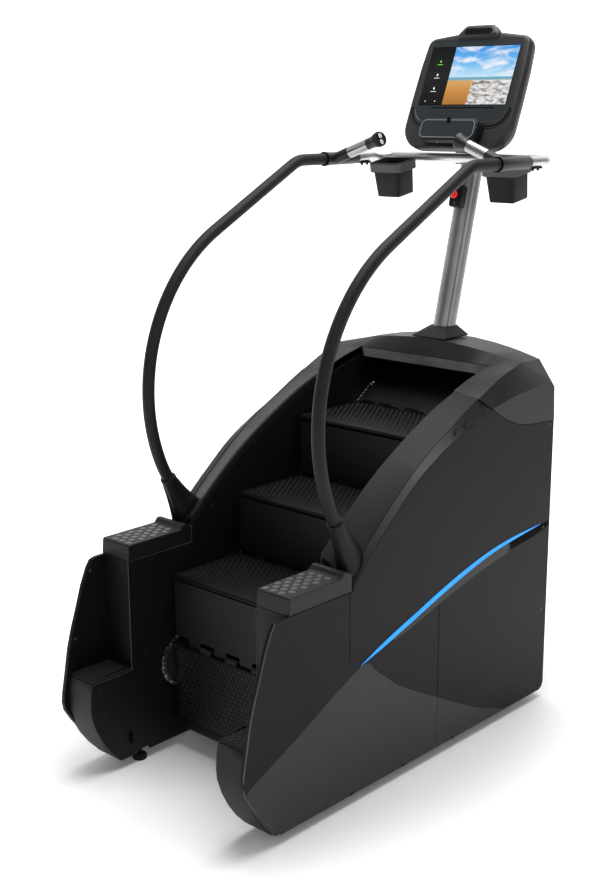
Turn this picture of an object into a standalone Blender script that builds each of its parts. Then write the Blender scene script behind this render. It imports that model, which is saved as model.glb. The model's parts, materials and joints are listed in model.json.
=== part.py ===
"""Stair climber: a moving staircase between two pods, with curved handrails and a console on a mast.

Frame: +X is the user's right, +Y the way the user faces, +Z up.  Every function below measures y from
the landing pads' front face and z from just under the covers; `emit` then shifts the machine so that
y = 0 is the middle of its length and z = 0 is the floor under its levelling feet.
"""
import math

import bmesh
import bpy
from mathutils import Matrix, Vector

# ---- driving dimensions, in metres -----------------------------------------------------------------
Y_MID = 0.6108          # middle of the overall length, measured from the landing pads' front face
LIFT = 0.0245           # the levelling feet hold the machine this far above the floor
GAP = 0.0004            # clearance between pieces that rest on each other
FLOOR = 0.006           # lowest edge of the plastic covers

RISE, RUN = 0.2032, 0.2871          # one step
SLOPE = math.hypot(RISE, RUN)
DY, DZ = RUN / SLOPE, RISE / SLOPE  # unit vector up the stairs
HINGE_Y, HINGE_Z = 0.170, 0.340     # hinge at the foot of the first riser
STEP_HALF = 0.2535                  # half width of a tread
TREAD_TOP, TREAD_THICK = 0.0168, 0.018
NOSE_OUT = 0.007                    # the nose stands this far in front of its riser's hinge line
TAB_X = (-0.224, -0.112, 0.0, 0.112, 0.224)
TAB_WIDE, SLOT_WIDE = 0.048, 0.058

WALL_X, SIDE_X = 0.2697, 0.3926     # inner wall face and outer face of a pod
FLANGE_X, SEAM_X = 0.3780, 0.3650   # inside face of the front flange, seam between cap and panel
CAP_X = WALL_X + 0.006              # ridge of the arch cap, beside the stairs
SHELL = 0.005
PAD_BACK, PAD_LOW, PAD_TOP = 0.258, 0.638, 0.6876
STEP_RIM = 0.288                    # height of the lower foot step
CAP_BACK = 0.880                    # seam between arch cap and hood
LIP = 0.030
OPEN_Y, OPEN_Z = 1.070, 1.151       # front edge of the hood above the steps
REAR_Y = 1.270
HOOD_LOW = 0.957

FLOOR_RAIL_X = (0.2755, 0.3145)
FLOOR_RAIL_Z = (0.022, 0.068)
FOOT_X, FOOT_FRONT, FOOT_REAR = 0.2900, 0.034, 1.190   # levelling feet under the floor rails

CHAIN_R, CHAIN_BAND = 0.078, 0.008
CHAIN_X = (0.2555, 0.2665)
LOWER_ALONG = 0.020                 # first hinge, up the stairs from where the chain leaves its sprocket
STEP_COUNT = 8
PULLEY_R, BRAKE_R = 0.060, 0.030    # belt drive from the upper shaft to the brake
BRAKE = (1.050, 0.700)              # brake shaft: (y, z)
BELT_X = (0.3345, 0.3485)

RAIL_X, RAIL_R = 0.3475, 0.019
ARM_Z = 1.787
BAR_Y, BAR_R = 1.2700, 0.016
MAST_R = 0.0372
MAST_FOOT, MAST_HEAD = (1.1780, 1.2062), (1.3634, 1.9300)   # mast axis: (y, z) at foot and head
MAST_LEAN = math.atan2(MAST_HEAD[0] - MAST_FOOT[0], MAST_HEAD[1] - MAST_FOOT[1])

CONSOLE = (1.2889, 2.0534)          # middle of the display glass: (y, z)
CONSOLE_TILT = math.radians(22.8)
SCREEN_HALF, SCREEN_HIGH = 0.1735, 0.1002

# Edge curves of the covers, (y, z): inner top edge, seam beside it, and the crease on the outer side.
INNER_EDGE = ((0.262, 0.724), (0.359, 0.808), (0.479, 0.900), (0.617, 0.983), (0.761, 1.054),
              (0.861, 1.091), (0.965, 1.126), (OPEN_Y, OPEN_Z))
SEAM_EDGE = ((0.262, 0.652), (0.315, 0.705), (0.363, 0.753), (0.450, 0.828), (0.547, 0.904),
             (0.640, 0.965), (0.737, 1.015), (0.837, 1.066), (0.990, 1.134), (OPEN_Y, 1.157))
CREASE_EDGE = ((0.262, 0.646), (0.363, 0.748), (0.450, 0.822), (0.547, 0.897), (0.653, 0.955),
               (0.711, 0.981), (0.800, 1.012), (0.851, 1.033), (0.955, 1.059), (1.064, 1.076),
               (1.153, 1.082), (1.262, 1.084))
HOOD_ROWS = (CAP_BACK, 0.922, 0.962, 1.005, 1.040, OPEN_Y, 1.131, 1.246)
HOOD_EDGE = ((0.880, 1.086), (0.922, 1.050), (0.957, 1.027), (1.013, 0.998), (1.070, 0.977),
             (1.157, 0.965), (REAR_Y, HOOD_LOW))

MATERIALS = {
    "charcoal": ((0.022, 0.022, 0.023), 0.45, 0.0),
    "black_plastic": ((0.010, 0.010, 0.011), 0.55, 0.0),
    "grey_cap": ((0.045, 0.045, 0.047), 0.40, 0.0),
    "tread_rubber": ((0.014, 0.014, 0.015), 0.75, 0.0),
    "rail_coat": ((0.018, 0.018, 0.019), 0.38, 0.1),
    "mast_metal": ((0.22, 0.22, 0.23), 0.35, 0.9),
    "chrome": ((0.75, 0.75, 0.77), 0.12, 1.0),
    "frame_steel": ((0.06, 0.06, 0.065), 0.45, 0.8),
    "chain_steel": ((0.30, 0.28, 0.26), 0.35, 1.0),
    "screen_glass": ((0.05, 0.16, 0.30), 0.08, 0.0),
    "stop_red": ((0.65, 0.02, 0.02), 0.35, 0.0),
    "key_white": ((0.70, 0.70, 0.70), 0.45, 0.0),
    "belt_rubber": ((0.012, 0.012, 0.012), 0.80, 0.0),
}


# ---- helpers ---------------------------------------------------------------------------------------
def clear_scene():
    for obj in list(bpy.data.objects):
        bpy.data.objects.remove(obj, do_unlink=True)


def material(name):
    found = bpy.data.materials.get(name)
    if found:
        return found
    colour, rough, metal = MATERIALS[name]
    made = bpy.data.materials.new(name)
    made.use_nodes = True
    shader = made.node_tree.nodes["Principled BSDF"]
    shader.inputs["Base Color"].default_value = (*colour, 1.0)
    shader.inputs["Roughness"].default_value = rough
    shader.inputs["Metallic"].default_value = metal
    return made


def emit(name, bm, look, pivot=(0.0, 0.0, 0.0), smooth=35.0):
    """Turn a mesh in machine coordinates into a node whose origin is at pivot."""
    bmesh.ops.recalc_face_normals(bm, faces=bm.faces)
    if bm.calc_volume(signed=True) < 0:
        bmesh.ops.reverse_faces(bm, faces=bm.faces)
    bmesh.ops.translate(bm, verts=bm.verts, vec=-Vector(pivot))
    mesh = bpy.data.meshes.new(name)
    bm.to_mesh(mesh)
    bm.free()
    mesh.materials.append(material(look))
    mesh.shade_smooth()
    mesh.set_sharp_from_angle(angle=math.radians(smooth))
    obj = bpy.data.objects.new(name, mesh)
    obj.location = Vector(pivot) + Vector((0.0, -Y_MID, LIFT))
    bpy.context.collection.objects.link(obj)
    return obj


def combine(target, other, operation):
    """Add a Boolean that joins or cuts target with a hidden helper object."""
    other.hide_render = True
    other.display_type = "WIRE"
    step = target.modifiers.new(operation.lower(), "BOOLEAN")
    step.operation = operation
    step.solver = "EXACT"
    step.object = other


def spline(points, y):
    """Smooth (y, z) curve through points, read at y: cubic with averaged slopes."""
    last = len(points) - 1
    k = 0
    while k < last - 1 and y > points[k + 1][0]:
        k += 1

    def slope(i):
        a, b = points[max(i - 1, 0)], points[min(i + 1, last)]
        return (b[1] - a[1]) / (b[0] - a[0])

    (y0, z0), (y1, z1) = points[k], points[k + 1]
    h = y1 - y0
    t = (y - y0) / h
    return ((2 * t**3 - 3 * t**2 + 1) * z0 + (t**3 - 2 * t**2 + t) * h * slope(k)
            + (3 * t**2 - 2 * t**3) * z1 + (t**3 - t**2) * h * slope(k + 1))


def spread(low, high, count):
    return [low + (high - low) * i / (count - 1) for i in range(count)]


def arc(cy, cz, radius, start, end, count):
    """Points (y, z) on an arc, angles in degrees from +Y towards +Z."""
    angles = [math.radians(a) for a in spread(start, end, count)]
    return [(cy + radius * math.cos(a), cz + radius * math.sin(a)) for a in angles]


def loft(rings, closed=False):
    """Closed solid through rings of points; the ends are capped unless the rings close on themselves."""
    bm = bmesh.new()
    made = [[bm.verts.new(p) for p in ring] for ring in rings]
    count = len(made[0])
    pairs = list(zip(made, made[1:]))
    if closed:
        pairs.append((made[-1], made[0]))
    for a, b in pairs:
        for i in range(count):
            j = (i + 1) % count
            bm.faces.new((a[i], a[j], b[j], b[i]))
    if not closed:
        bm.faces.new(made[0])
        bm.faces.new(made[-1])
    return bm


def prism(outline, x0, x1):
    """Outline in (y, z) extruded along X."""
    return loft([[(x0, y, z) for y, z in outline], [(x1, y, z) for y, z in outline]])


def ring_prism(outer, inner, x0, x1):
    """Band between two (y, z) outlines with as many points, extruded along X."""
    rings = [[(x0, *p) for p in outer], [(x1, *p) for p in outer],
             [(x1, *p) for p in inner], [(x0, *p) for p in inner]]
    return loft(rings, closed=True)


def box(x0, x1, y0, y1, z0, z1):
    return prism([(y0, z0), (y1, z0), (y1, z1), (y0, z1)], x0, x1)


def frame_along(direction):
    axis = Vector(direction).normalized()
    side = axis.orthogonal().normalized()
    if abs(axis.x) < 0.9:
        side = (Vector((1.0, 0.0, 0.0)) - axis * axis.x).normalized()
    return axis, side, axis.cross(side)


def lathe(start, direction, profile, segments=24):
    """Turned solid: profile is (distance along the axis, radius), first to last end."""
    axis, side, up = frame_along(direction)
    rings = []
    for along, radius in profile:
        centre = Vector(start) + axis * along
        turn = [2 * math.pi * i / segments for i in range(segments)]
        rings.append([centre + side * radius * math.cos(a) + up * radius * math.sin(a) for a in turn])
    return loft(rings)


def sleeve(start, direction, length, outer, inner, segments=24):
    """Plain bush around an axis."""
    axis, side, up = frame_along(direction)
    rings = []
    for along, radius in ((0.0, outer), (length, outer), (length, inner), (0.0, inner)):
        centre = Vector(start) + axis * along
        turn = [2 * math.pi * i / segments for i in range(segments)]
        rings.append([centre + side * radius * math.cos(a) + up * radius * math.sin(a) for a in turn])
    return loft(rings, closed=True)


def tube(path, radius, segments=14):
    """Round bar swept along a path of points; radius is a number or one value per point."""
    points = [Vector(p) for p in path]
    sizes = radius if isinstance(radius, (list, tuple)) else [radius] * len(points)
    rings = []
    side = None
    for i, p in enumerate(points):
        ahead = (points[min(i + 1, len(points) - 1)] - points[max(i - 1, 0)]).normalized()
        if side is None:
            side = frame_along(ahead)[1]
        side = (side - ahead * ahead.dot(side)).normalized()
        up = ahead.cross(side)
        turn = [2 * math.pi * k / segments for k in range(segments)]
        rings.append([p + (side * math.cos(a) + up * math.sin(a)) * sizes[i] for a in turn])
    return loft(rings)


def inset(outline, depth):
    """Outline of (y, z) points moved inwards by depth, corner by corner."""
    area = sum(a[0] * b[1] - b[0] * a[1] for a, b in zip(outline, outline[1:] + outline[:1]))
    sign = 1.0 if area > 0 else -1.0
    moved = []
    for i, p in enumerate(outline):
        before = Vector(p) - Vector(outline[i - 1])
        after = Vector(outline[(i + 1) % len(outline)]) - Vector(p)
        n1 = Vector((-before.y, before.x)).normalized() * sign
        n2 = Vector((-after.y, after.x)).normalized() * sign
        mid = (n1 + n2).normalized()
        moved.append(tuple(Vector(p) + mid * depth / max(mid.dot(n1), 0.5)))
    return moved


def mirrored(bm, side):
    if side < 0:
        bmesh.ops.scale(bm, verts=bm.verts, vec=(-1.0, 1.0, 1.0))
    return bm


def turned(bm, degrees, pivot):
    """Turn about X through the (y, z) pivot; positive takes +Y towards +Z."""
    centre = Vector((0.0, *pivot))
    bmesh.ops.rotate(bm, verts=bm.verts, cent=centre, matrix=Matrix.Rotation(math.radians(degrees), 3, "X"))
    return bm


SIDES = (("left", -1), ("right", 1))


# ---- the staircase ---------------------------------------------------------------------------------
def hinge(step):
    """Hinge line (y, z) at the foot of riser `step` (1 is the lowest standing riser)."""
    return HINGE_Y + RUN * (step - 1), HINGE_Z + RISE * (step - 1)


def tread_solid(at):
    """Tread with its rear hinge line at `at`, nose towards -Y, hinge tabs at the back."""
    y0, z0 = at
    rear, front, cut = y0 - 0.0055, y0 - RUN - NOSE_OUT, 0.024
    outline = [(-STEP_HALF, rear), (-STEP_HALF, front + cut), (-STEP_HALF + cut, front),
               (STEP_HALF - cut, front), (STEP_HALF, front + cut), (STEP_HALF, rear)]
    for x in reversed(TAB_X):
        half = TAB_WIDE / 2
        outline += [(x + half, rear), (x + half, y0 + 0.007), (x - half, y0 + 0.007), (x - half, rear)]
    low, top = z0 + TREAD_TOP - TREAD_THICK, z0 + TREAD_TOP
    bm = loft([[(x, y, low) for x, y in outline], [(x, y, top) for x, y in outline]])
    nose = [e for e in bm.edges if all(v.co.y < front + 1e-5 for v in e.verts)
            and abs(e.verts[0].co.z - e.verts[1].co.z) < 1e-6]
    bmesh.ops.bevel(bm, geom=nose, offset=0.007, segments=3, profile=0.5, affect="EDGES")
    return bm


def riser_solid(at, high=RISE - 0.003):
    """Riser standing on its hinge line, with slots that let the tread's hinge tabs through."""
    y0, z0 = at
    half, slot_top, foot = SLOT_WIDE / 2, z0 + 0.020, z0 - 0.003
    outline = [(-STEP_HALF, z0 + high), (-STEP_HALF, slot_top)]
    for x in TAB_X:
        edge_in, edge_out = x + half, x - half
        if edge_out > -STEP_HALF + 0.004:
            outline += [(edge_out, foot)]
        outline += [(max(edge_out, -STEP_HALF), slot_top), (min(edge_in, STEP_HALF), slot_top)]
        if edge_in < STEP_HALF - 0.004:
            outline += [(edge_in, foot)]
    outline += [(STEP_HALF, slot_top), (STEP_HALF, z0 + high)]
    clean = [p for i, p in enumerate(outline) if p != outline[i - 1]]
    return loft([[(x, y0 - 0.003, z) for x, z in clean], [(x, y0 + 0.003, z) for x, z in clean]])


def zigzag(points, depth):
    """Band of constant thickness below a stepped line of (y, z) points, its corners mitred."""
    shifted = []
    for i, p in enumerate(points):
        a = Vector(points[max(i - 1, 0)])
        b = Vector(points[min(i + 1, len(points) - 1)])
        here = Vector(p)
        before = (here - a).normalized() if i else (b - here).normalized()
        after = (b - here).normalized() if i < len(points) - 1 else before
        n1, n2 = Vector((before.y, -before.x)), Vector((after.y, -after.x))
        mid = (n1 + n2).normalized()
        shifted.append(tuple(here + mid * depth / mid.dot(n1)))
    return list(points) + shifted[::-1]


def build_steps():
    for k in (1, 2, 3):
        emit(f"tread_{k}", tread_solid(hinge(k + 1)), "tread_rubber", (0.0, *hinge(k + 1)))
        emit(f"riser_{k}", riser_solid(hinge(k)), "black_plastic", (0.0, *hinge(k)))

    # The step below the first riser hangs down past the lower sprockets.
    hang = 93.4
    pivot = hinge(1)
    emit("lower_tread", turned(tread_solid(pivot), hang, pivot), "tread_rubber", (0.0, *pivot))
    nose = (pivot[0] - RUN * math.cos(math.radians(hang)), pivot[1] - RUN * math.sin(math.radians(hang)))
    lean = math.radians(28.6)
    tail = (nose[0] + 0.212 * math.sin(lean), nose[1] + 0.212 * math.cos(lean))
    emit("lower_riser", turned(riser_solid(tail), 151.4, tail), "black_plastic", (0.0, *pivot))

    # The step above the third tread leans back under the hood, riser and tread joined at the nose.
    foot = hinge(4)
    back = 55.0
    nose = (foot[0] + RISE * math.sin(math.radians(back)), foot[1] + RISE * math.cos(math.radians(back)))
    upper = emit("upper_step", turned(riser_solid(foot, RISE + 0.006), -back, foot), "black_plastic",
                 (0.0, *foot))
    fall = 247.85
    end = (nose[0] + RUN * math.cos(math.radians(fall)), nose[1] + RUN * math.sin(math.radians(fall)))
    top = emit("upper_step_top", turned(tread_solid(end), fall, end), "tread_rubber", (0.0, *foot))
    combine(upper, top, "UNION")

    # Three more steps travel back up under the staircase, upside down.
    line = []
    start = lower_run(0.0985)
    for k in range(3):
        y, z = start[0] + RUN * k, start[1] + RISE * k
        line += [(y, z), (y + RUN, z)]
    line.append((start[0] + RUN * 3, start[1] + RISE * 3 - 0.010))
    emit("return_steps", prism(zigzag(line, 0.014), -STEP_HALF, STEP_HALF), "black_plastic",
         (0.0, *start))


# ---- chain drive -----------------------------------------------------------------------------------
def lower_sprocket():
    y, z = hinge(1)
    return (y - LOWER_ALONG * DY + CHAIN_R * DZ, z - LOWER_ALONG * DZ - CHAIN_R * DY)


def upper_sprocket():
    y, z = lower_sprocket()
    span = (STEP_COUNT * SLOPE - 2 * math.pi * CHAIN_R) / 2
    return y + span * DY, z + span * DZ


def lower_run(along):
    """Point on the chain's returning run, `along` metres from the lower sprocket."""
    y, z = lower_sprocket()
    return y + CHAIN_R * DZ + along * DY, z - CHAIN_R * DY + along * DZ


def loop_outline(first, r_first, second, r_second, count=13):
    """Outline of a belt or chain round two wheels in the YZ plane."""
    gap = Vector(second) - Vector(first)
    heading = math.degrees(math.atan2(gap.y, gap.x))
    side = math.degrees(math.acos((r_first - r_second) / gap.length))
    return (arc(*first, r_first, heading + side, heading + 360 - side, count)
            + arc(*second, r_second, heading - side, heading + side, count))


def build_drive():
    low, high = lower_sprocket(), upper_sprocket()
    outer = loop_outline(low, CHAIN_R + CHAIN_BAND, high, CHAIN_R + CHAIN_BAND)
    inner = loop_outline(low, CHAIN_R - CHAIN_BAND, high, CHAIN_R - CHAIN_BAND)
    for name, side in SIDES:
        band = ring_prism(outer, inner, *CHAIN_X)
        emit(f"{name}_chain", mirrored(band, side), "chain_steel")
        for level, (y, z) in (("lower", low), ("upper", high)):
            plate, hub, axle = CHAIN_R - CHAIN_BAND - 0.0006, 0.024, 0.0100
            profile = [(0.0, hub), (0.003, hub), (0.003, plate), (0.008, plate), (0.008, hub),
                       (0.0125, hub), (0.0125, axle), (0.0445, axle)]
            if (level, name) == ("upper", "right"):
                profile = profile[:-1] + [(0.078, axle), (0.078, PULLEY_R), (0.094, PULLEY_R)]
            bm = lathe((CHAIN_X[0], y, z), (1, 0, 0), profile)
            emit(f"{level}_{name}_sprocket", mirrored(bm, side), "frame_steel", (0.0, y, z))

    y, z = BRAKE
    belt_out = loop_outline(high, PULLEY_R + 0.0044, BRAKE, BRAKE_R + 0.0044)
    belt_in = loop_outline(high, PULLEY_R + 0.0011, BRAKE, BRAKE_R + 0.0011)
    emit("drive_belt", ring_prism(belt_out, belt_in, *BELT_X), "belt_rubber")
    profile = [(0.0, 0.008), (0.0175, 0.008), (0.0175, 0.070), (0.0235, 0.070), (0.0235, 0.014),
               (0.0275, 0.014), (0.0275, BRAKE_R), (0.0435, BRAKE_R)]
    emit("brake_rotor", lathe((0.306, y, z), (1, 0, 0), profile), "frame_steel", (0.0, y, z))
    shell = lathe((0.3005, y, z), (1, 0, 0), [(0.0, 0.060), (0.004, 0.074), (0.020, 0.074)])
    housing = emit("brake_housing", shell, "black_plastic")
    bore = lathe((0.3040, y, z), (1, 0, 0), [(0.0, 0.0090), (0.03, 0.0090)])
    combine(housing, emit("brake_bore", bore, "black_plastic"), "DIFFERENCE")


# ---- steel frame -----------------------------------------------------------------------------------
def build_frame():
    low, high = lower_sprocket(), upper_sprocket()
    members = []
    for _, side in SIDES:
        x0, x1 = sorted((FLOOR_RAIL_X[0] * side, FLOOR_RAIL_X[1] * side))
        members.append(box(x0, x1, -0.050, 1.250, *FLOOR_RAIL_Z))                # floor rail
        p0, p1 = sorted((0.289 * side, 0.325 * side))
        members.append(box(p0, p1, 1.2100, 1.2420, 0.050, 1.1450))               # rear post
        q0, q1 = sorted((0.2885 * side, 0.2985 * side))
        lower_plate = [(low[0] - 0.040, 0.060), (low[0] + 0.055, 0.060),
                       (low[0] + 0.040, low[1] + 0.035), (low[0] - 0.030, low[1] + 0.035)]
        upper_plate = [(high[0] - 0.045, high[1] - 0.040), (1.2300, high[1] - 0.080),
                       (1.2300, high[1] + 0.060), (high[0] - 0.045, high[1] + 0.030)]
        members += [prism(lower_plate, q0, q1), prism(upper_plate, q0, q1)]      # bearing plates
        r0, r1 = sorted((0.2890 * side, 0.2980 * side))
        dy, dz = 0.020 * DZ, 0.020 * DY
        start = low[0] + 0.010
        stringer = [(start + dy, low[1] - dz), (high[0] + dy, high[1] - dz),
                    (high[0] - dy, high[1] + dz), (start - dy, low[1] + dz)]
        members.append(prism(stringer, r0, r1))                                  # sloping stringer
    for y0, z0, z1 in ((0.330, 0.024, 0.066), (0.800, 0.024, 0.066), (1.2000, 0.024, 0.066)):
        members.append(box(-0.290, 0.290, y0, y0 + 0.040, z0, z1))               # floor cross tubes
    members.append(box(-0.291, 0.291, 1.2110, 1.2410, 1.1330, 1.1445))           # top cross member
    members.append(box(-0.070, 0.070, 1.2120, 1.2400, 1.1435, 1.1840))           # mast seat and plate
    members.append(box(-0.068, 0.068, 1.1100, 1.2350, 1.1700, 1.1835))
    frame = emit("base_frame", members[0], "frame_steel", smooth=20.0)
    for i, member in enumerate(members[1:]):
        combine(frame, emit(f"frame_member_{i}", member, "frame_steel"), "UNION")
    for i, (y, z) in enumerate((low, high)):
        bore = lathe((-0.40, y, z), (1, 0, 0), [(0.0, 0.0103), (0.80, 0.0103)])
        combine(frame, emit(f"frame_bore_{i}", bore, "frame_steel"), "DIFFERENCE")


def build_feet():
    for name, side in SIDES:
        for end, y in (("front", FOOT_FRONT), ("rear", FOOT_REAR)):
            top = LIFT + FLOOR_RAIL_Z[0] - GAP
            profile = [(0.0, 0.0215), (0.002, 0.0230), (0.014, 0.0230), (0.019, 0.0170), (0.022, 0.0075),
                       (top - 0.008, 0.0075), (top - 0.008, 0.0105), (top, 0.0105)]
            bm = lathe((FOOT_X * side, y, -LIFT), (0, 0, 1), profile, 20)
            emit(f"{end}_{name}_foot", bm, "belt_rubber")


# ---- pods ------------------------------------------------------------------------------------------
def front_edge():
    """Outer flange from its lowest front point up to the landing pad, (y, z)."""
    return [(-0.036, FLOOR), (-0.075, 0.045), (-0.113, 0.090), (-0.151, 0.142), (-0.174, 0.180),
            (-0.1800, 0.208), (-0.176, 0.235), (-0.164, 0.295), (-0.150, 0.370), (-0.133, 0.430),
            (-0.112, 0.490), (-0.089, 0.560), (-0.068, 0.608), (-0.052, 0.632), (-0.034, PAD_LOW - GAP)]


def build_side_panels():
    tops = spread(0.262, 0.870, 13) + [0.8788, 0.8790, HOOD_ROWS[1]]
    hood_line = [(y, spline(HOOD_EDGE, y) - 2 * GAP) for y in HOOD_ROWS[2:]]
    corner = (REAR_Y, HOOD_LOW - 2 * GAP)
    for name, side in SIDES:
        front = front_edge()
        crest = [(y, spline(CREASE_EDGE, y)) for y in tops]
        under = [(y, spline(SEAM_EDGE, y)) for y in tops]
        step = [(0.0, PAD_LOW - GAP), (0.2590, PAD_LOW - GAP)]
        tail = hood_line + [corner, (REAR_Y, 0.300), (REAR_Y, 0.030), (1.262, 0.014), (1.246, FLOOR)]
        bottom = [(0.80, FLOOR), (0.40, FLOOR), (0.012, FLOOR)]
        # The hood takes over behind the arch cap: there the panel drops away under it.
        drop = spline(HOOD_EDGE, tops[-1]) - 2 * GAP
        crest[-1] = (tops[-1], min(crest[-1][1], drop))
        under[-2:] = [(tops[-2], under[-2][1] - 0.008), (tops[-1], drop)]
        outer = front + step + crest + tail + bottom
        depth = [FLANGE_X] * (len(front) + 2) + [SEAM_X + GAP] * len(crest) + [FLANGE_X] * (len(tail) + 3)
        seam = front + step + under + tail + bottom
        hollow = inset(seam, SHELL + 0.001)
        pocket = [(max(y, 0.014), z) for y, z in hollow]
        deep = [(max(y, 0.014), z) for y, z in inset(outer, SHELL + 0.001)]
        rings = [[(SIDE_X, *p) for p in inset(outer, 0.0015)],
                 [(SIDE_X - 0.0015, *p) for p in outer],
                 [(x, *p) for x, p in zip(depth, seam)],
                 [(x, *p) for x, p in zip(depth, pocket)],
                 [(SIDE_X - SHELL, *p) for p in deep]]
        emit(f"{name}_side_panel", mirrored(loft(rings), side), "charcoal", smooth=30.0)


def wall_outline():
    """Inner wall in (y, z), with how far its rim reaches outwards at each point."""
    reach, slim, thin = FLANGE_X - 2 * GAP, WALL_X + 0.016, WALL_X + 0.0048
    top = PAD_LOW - GAP
    points = [((-0.056, FLOOR), reach), ((-0.091, 0.044), reach), ((-0.120, 0.086), reach),
              ((-0.145, 0.135), reach), ((-0.160, 0.180), reach), ((-0.163, 0.212), reach),
              ((-0.160, 0.255), reach), ((-0.153, STEP_RIM), reach), ((0.0, STEP_RIM), reach),
              ((0.0, top), reach), ((0.2560, top), reach), ((0.2590, top), slim)]
    for y in spread(0.262, OPEN_Y, 12):
        points.append(((y, spline(INNER_EDGE, y) - LIP - 2 * GAP), slim))
    points += [((1.205, OPEN_Z - LIP - 2 * GAP), slim), ((1.205, 0.500), slim)]
    points += [((y, 0.076), thin) for y in (1.205, 0.600, 0.300)]
    points += [((0.285, FLOOR), thin), ((0.100, FLOOR), thin)]
    return points


def build_inner_walls():
    low, high = lower_sprocket(), upper_sprocket()
    for name, side in SIDES:
        points = wall_outline()
        face = [p for p, _ in points]
        reach = [x for _, x in points]
        inner = inset(face, 0.004)
        rings = [[(WALL_X, *p) for p in face], [(x, *p) for x, p in zip(reach, face)],
                 [(x, *p) for x, p in zip(reach, inner)], [(WALL_X + 0.004, *p) for p in inner]]
        wall = emit(f"{name}_inner_wall", mirrored(loft(rings), side), "black_plastic", smooth=30.0)
        for level, (y, z) in (("lower", low), ("upper", high)):
            bore = lathe((WALL_X * side - 0.03, y, z), (1, 0, 0), [(0.0, 0.028), (0.06, 0.028)])
            combine(wall, emit(f"{name}_{level}_wall_hole", bore, "black_plastic"), "DIFFERENCE")
        hole = lathe((FOOT_X * side, FOOT_FRONT, -0.01), (0, 0, 1), [(0.0, 0.030), (0.0265, 0.030)])
        combine(wall, emit(f"{name}_foot_hole", hole, "black_plastic"), "DIFFERENCE")


def rounded_rect(x0, x1, y0, y1, radius, count=4):
    points = []
    for cx, cy, start in ((x1 - radius, y1 - radius, 0), (x0 + radius, y1 - radius, 90),
                          (x0 + radius, y0 + radius, 180), (x1 - radius, y0 + radius, 270)):
        points += arc(cx, cy, radius, start, start + 90, count)
    return points


def slab(x0, x1, y0, y1, z0, z1, radius, soften):
    """Flat moulding with rounded corners and a softened top edge."""
    wide = rounded_rect(x0, x1, y0, y1, radius)
    small = rounded_rect(x0 + soften, x1 - soften, y0 + soften, y1 - soften, radius - soften * 0.6)
    return loft([[(x, y, z0) for x, y in wide], [(x, y, z1 - soften) for x, y in wide],
                 [(x, y, z1) for x, y in small]])


def build_pads():
    for name, side in SIDES:
        pad = slab(WALL_X, SIDE_X, 0.0, PAD_BACK, PAD_LOW, PAD_TOP, 0.010, 0.004)
        emit(f"{name}_landing_pad", mirrored(pad, side), "tread_rubber")
        tray = slab(WALL_X + 0.001, FLANGE_X - 2 * GAP, -0.1500, -GAP,
                    STEP_RIM + GAP, STEP_RIM + 0.010, 0.006, 0.003)
        emit(f"{name}_foot_tray", mirrored(tray, side), "tread_rubber")


def build_arch_caps():
    stations = spread(0.2625, CAP_BACK - 2 * GAP, 15)
    for name, side in SIDES:
        rings = []
        for y in stations:
            top, low = spline(INNER_EDGE, y), spline(SEAM_EDGE, y)
            rings.append([(WALL_X, y, top - LIP), (WALL_X, y, top - 0.006), (CAP_X, y, top),
                          (SEAM_X, y, low), (SEAM_X, y, low - 0.007), (CAP_X + 0.001, y, top - 0.012),
                          (WALL_X + 0.004, y, top - LIP)])
        emit(f"{name}_arch_cap", mirrored(loft(rings), side), "grey_cap", smooth=30.0)


def hood_row(kind):
    """One row of the hood's skin from the centre line outwards: list of (x, y, z)."""
    across = (0.0, 0.080, 0.160, 0.225, WALL_X, 0.310, 0.345)
    dome = [(x / 0.345) ** 2 for x in across]
    if kind == "valance":
        return [(x, OPEN_Y + 0.010, 1.1140) for x in across[:5]]
    if kind == "front":
        seam, crease = spline(SEAM_EDGE, OPEN_Y), spline(CREASE_EDGE, OPEN_Y)
        row = [(x, OPEN_Y, OPEN_Z) for x in across[:5]] + [(0.310, OPEN_Y, 1.154)]
        return row + [(SEAM_X, OPEN_Y, seam), (SIDE_X, OPEN_Y, crease)]
    if kind == "crease":
        row = [(x, 1.091 + 0.040 * d, 1.2060 - 0.046 * d) for x, d in zip(across, dome)]
        return row + [(SIDE_X, 1.131, spline(CREASE_EDGE, 1.131))]
    if kind == "top":
        row = [(x, 1.248 - 0.006 * d, 1.2020 - 0.044 * d) for x, d in zip(across, dome)]
        return row + [(SIDE_X, 1.246, 1.088)]
    if kind == "rear":
        row = [(x, 1.266 - 0.002 * d, 1.178 - 0.050 * d) for x, d in zip(across, dome)]
        return row + [(SIDE_X, 1.264, 1.070)]
    return [(x, REAR_Y, HOOD_LOW) for x in across] + [(SIDE_X, REAR_Y, HOOD_LOW)]


def arm_row(y):
    top, seam, crease = spline(INNER_EDGE, y), spline(SEAM_EDGE, y), spline(CREASE_EDGE, y)
    edge = spline(HOOD_EDGE, y)
    if y <= CAP_BACK:
        return [(WALL_X, y, top), (0.310, y, top + (seam - top) * 0.45)] + [(SEAM_X, y, seam)] * 3
    crease = max(crease, edge + 0.004)
    return [(WALL_X, y, top), (0.310, y, top + (seam - top) * 0.45), (SEAM_X, y, seam),
            (SIDE_X, y, min(crease, seam)), (SIDE_X, y, min(edge, seam - 0.012))]


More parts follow.
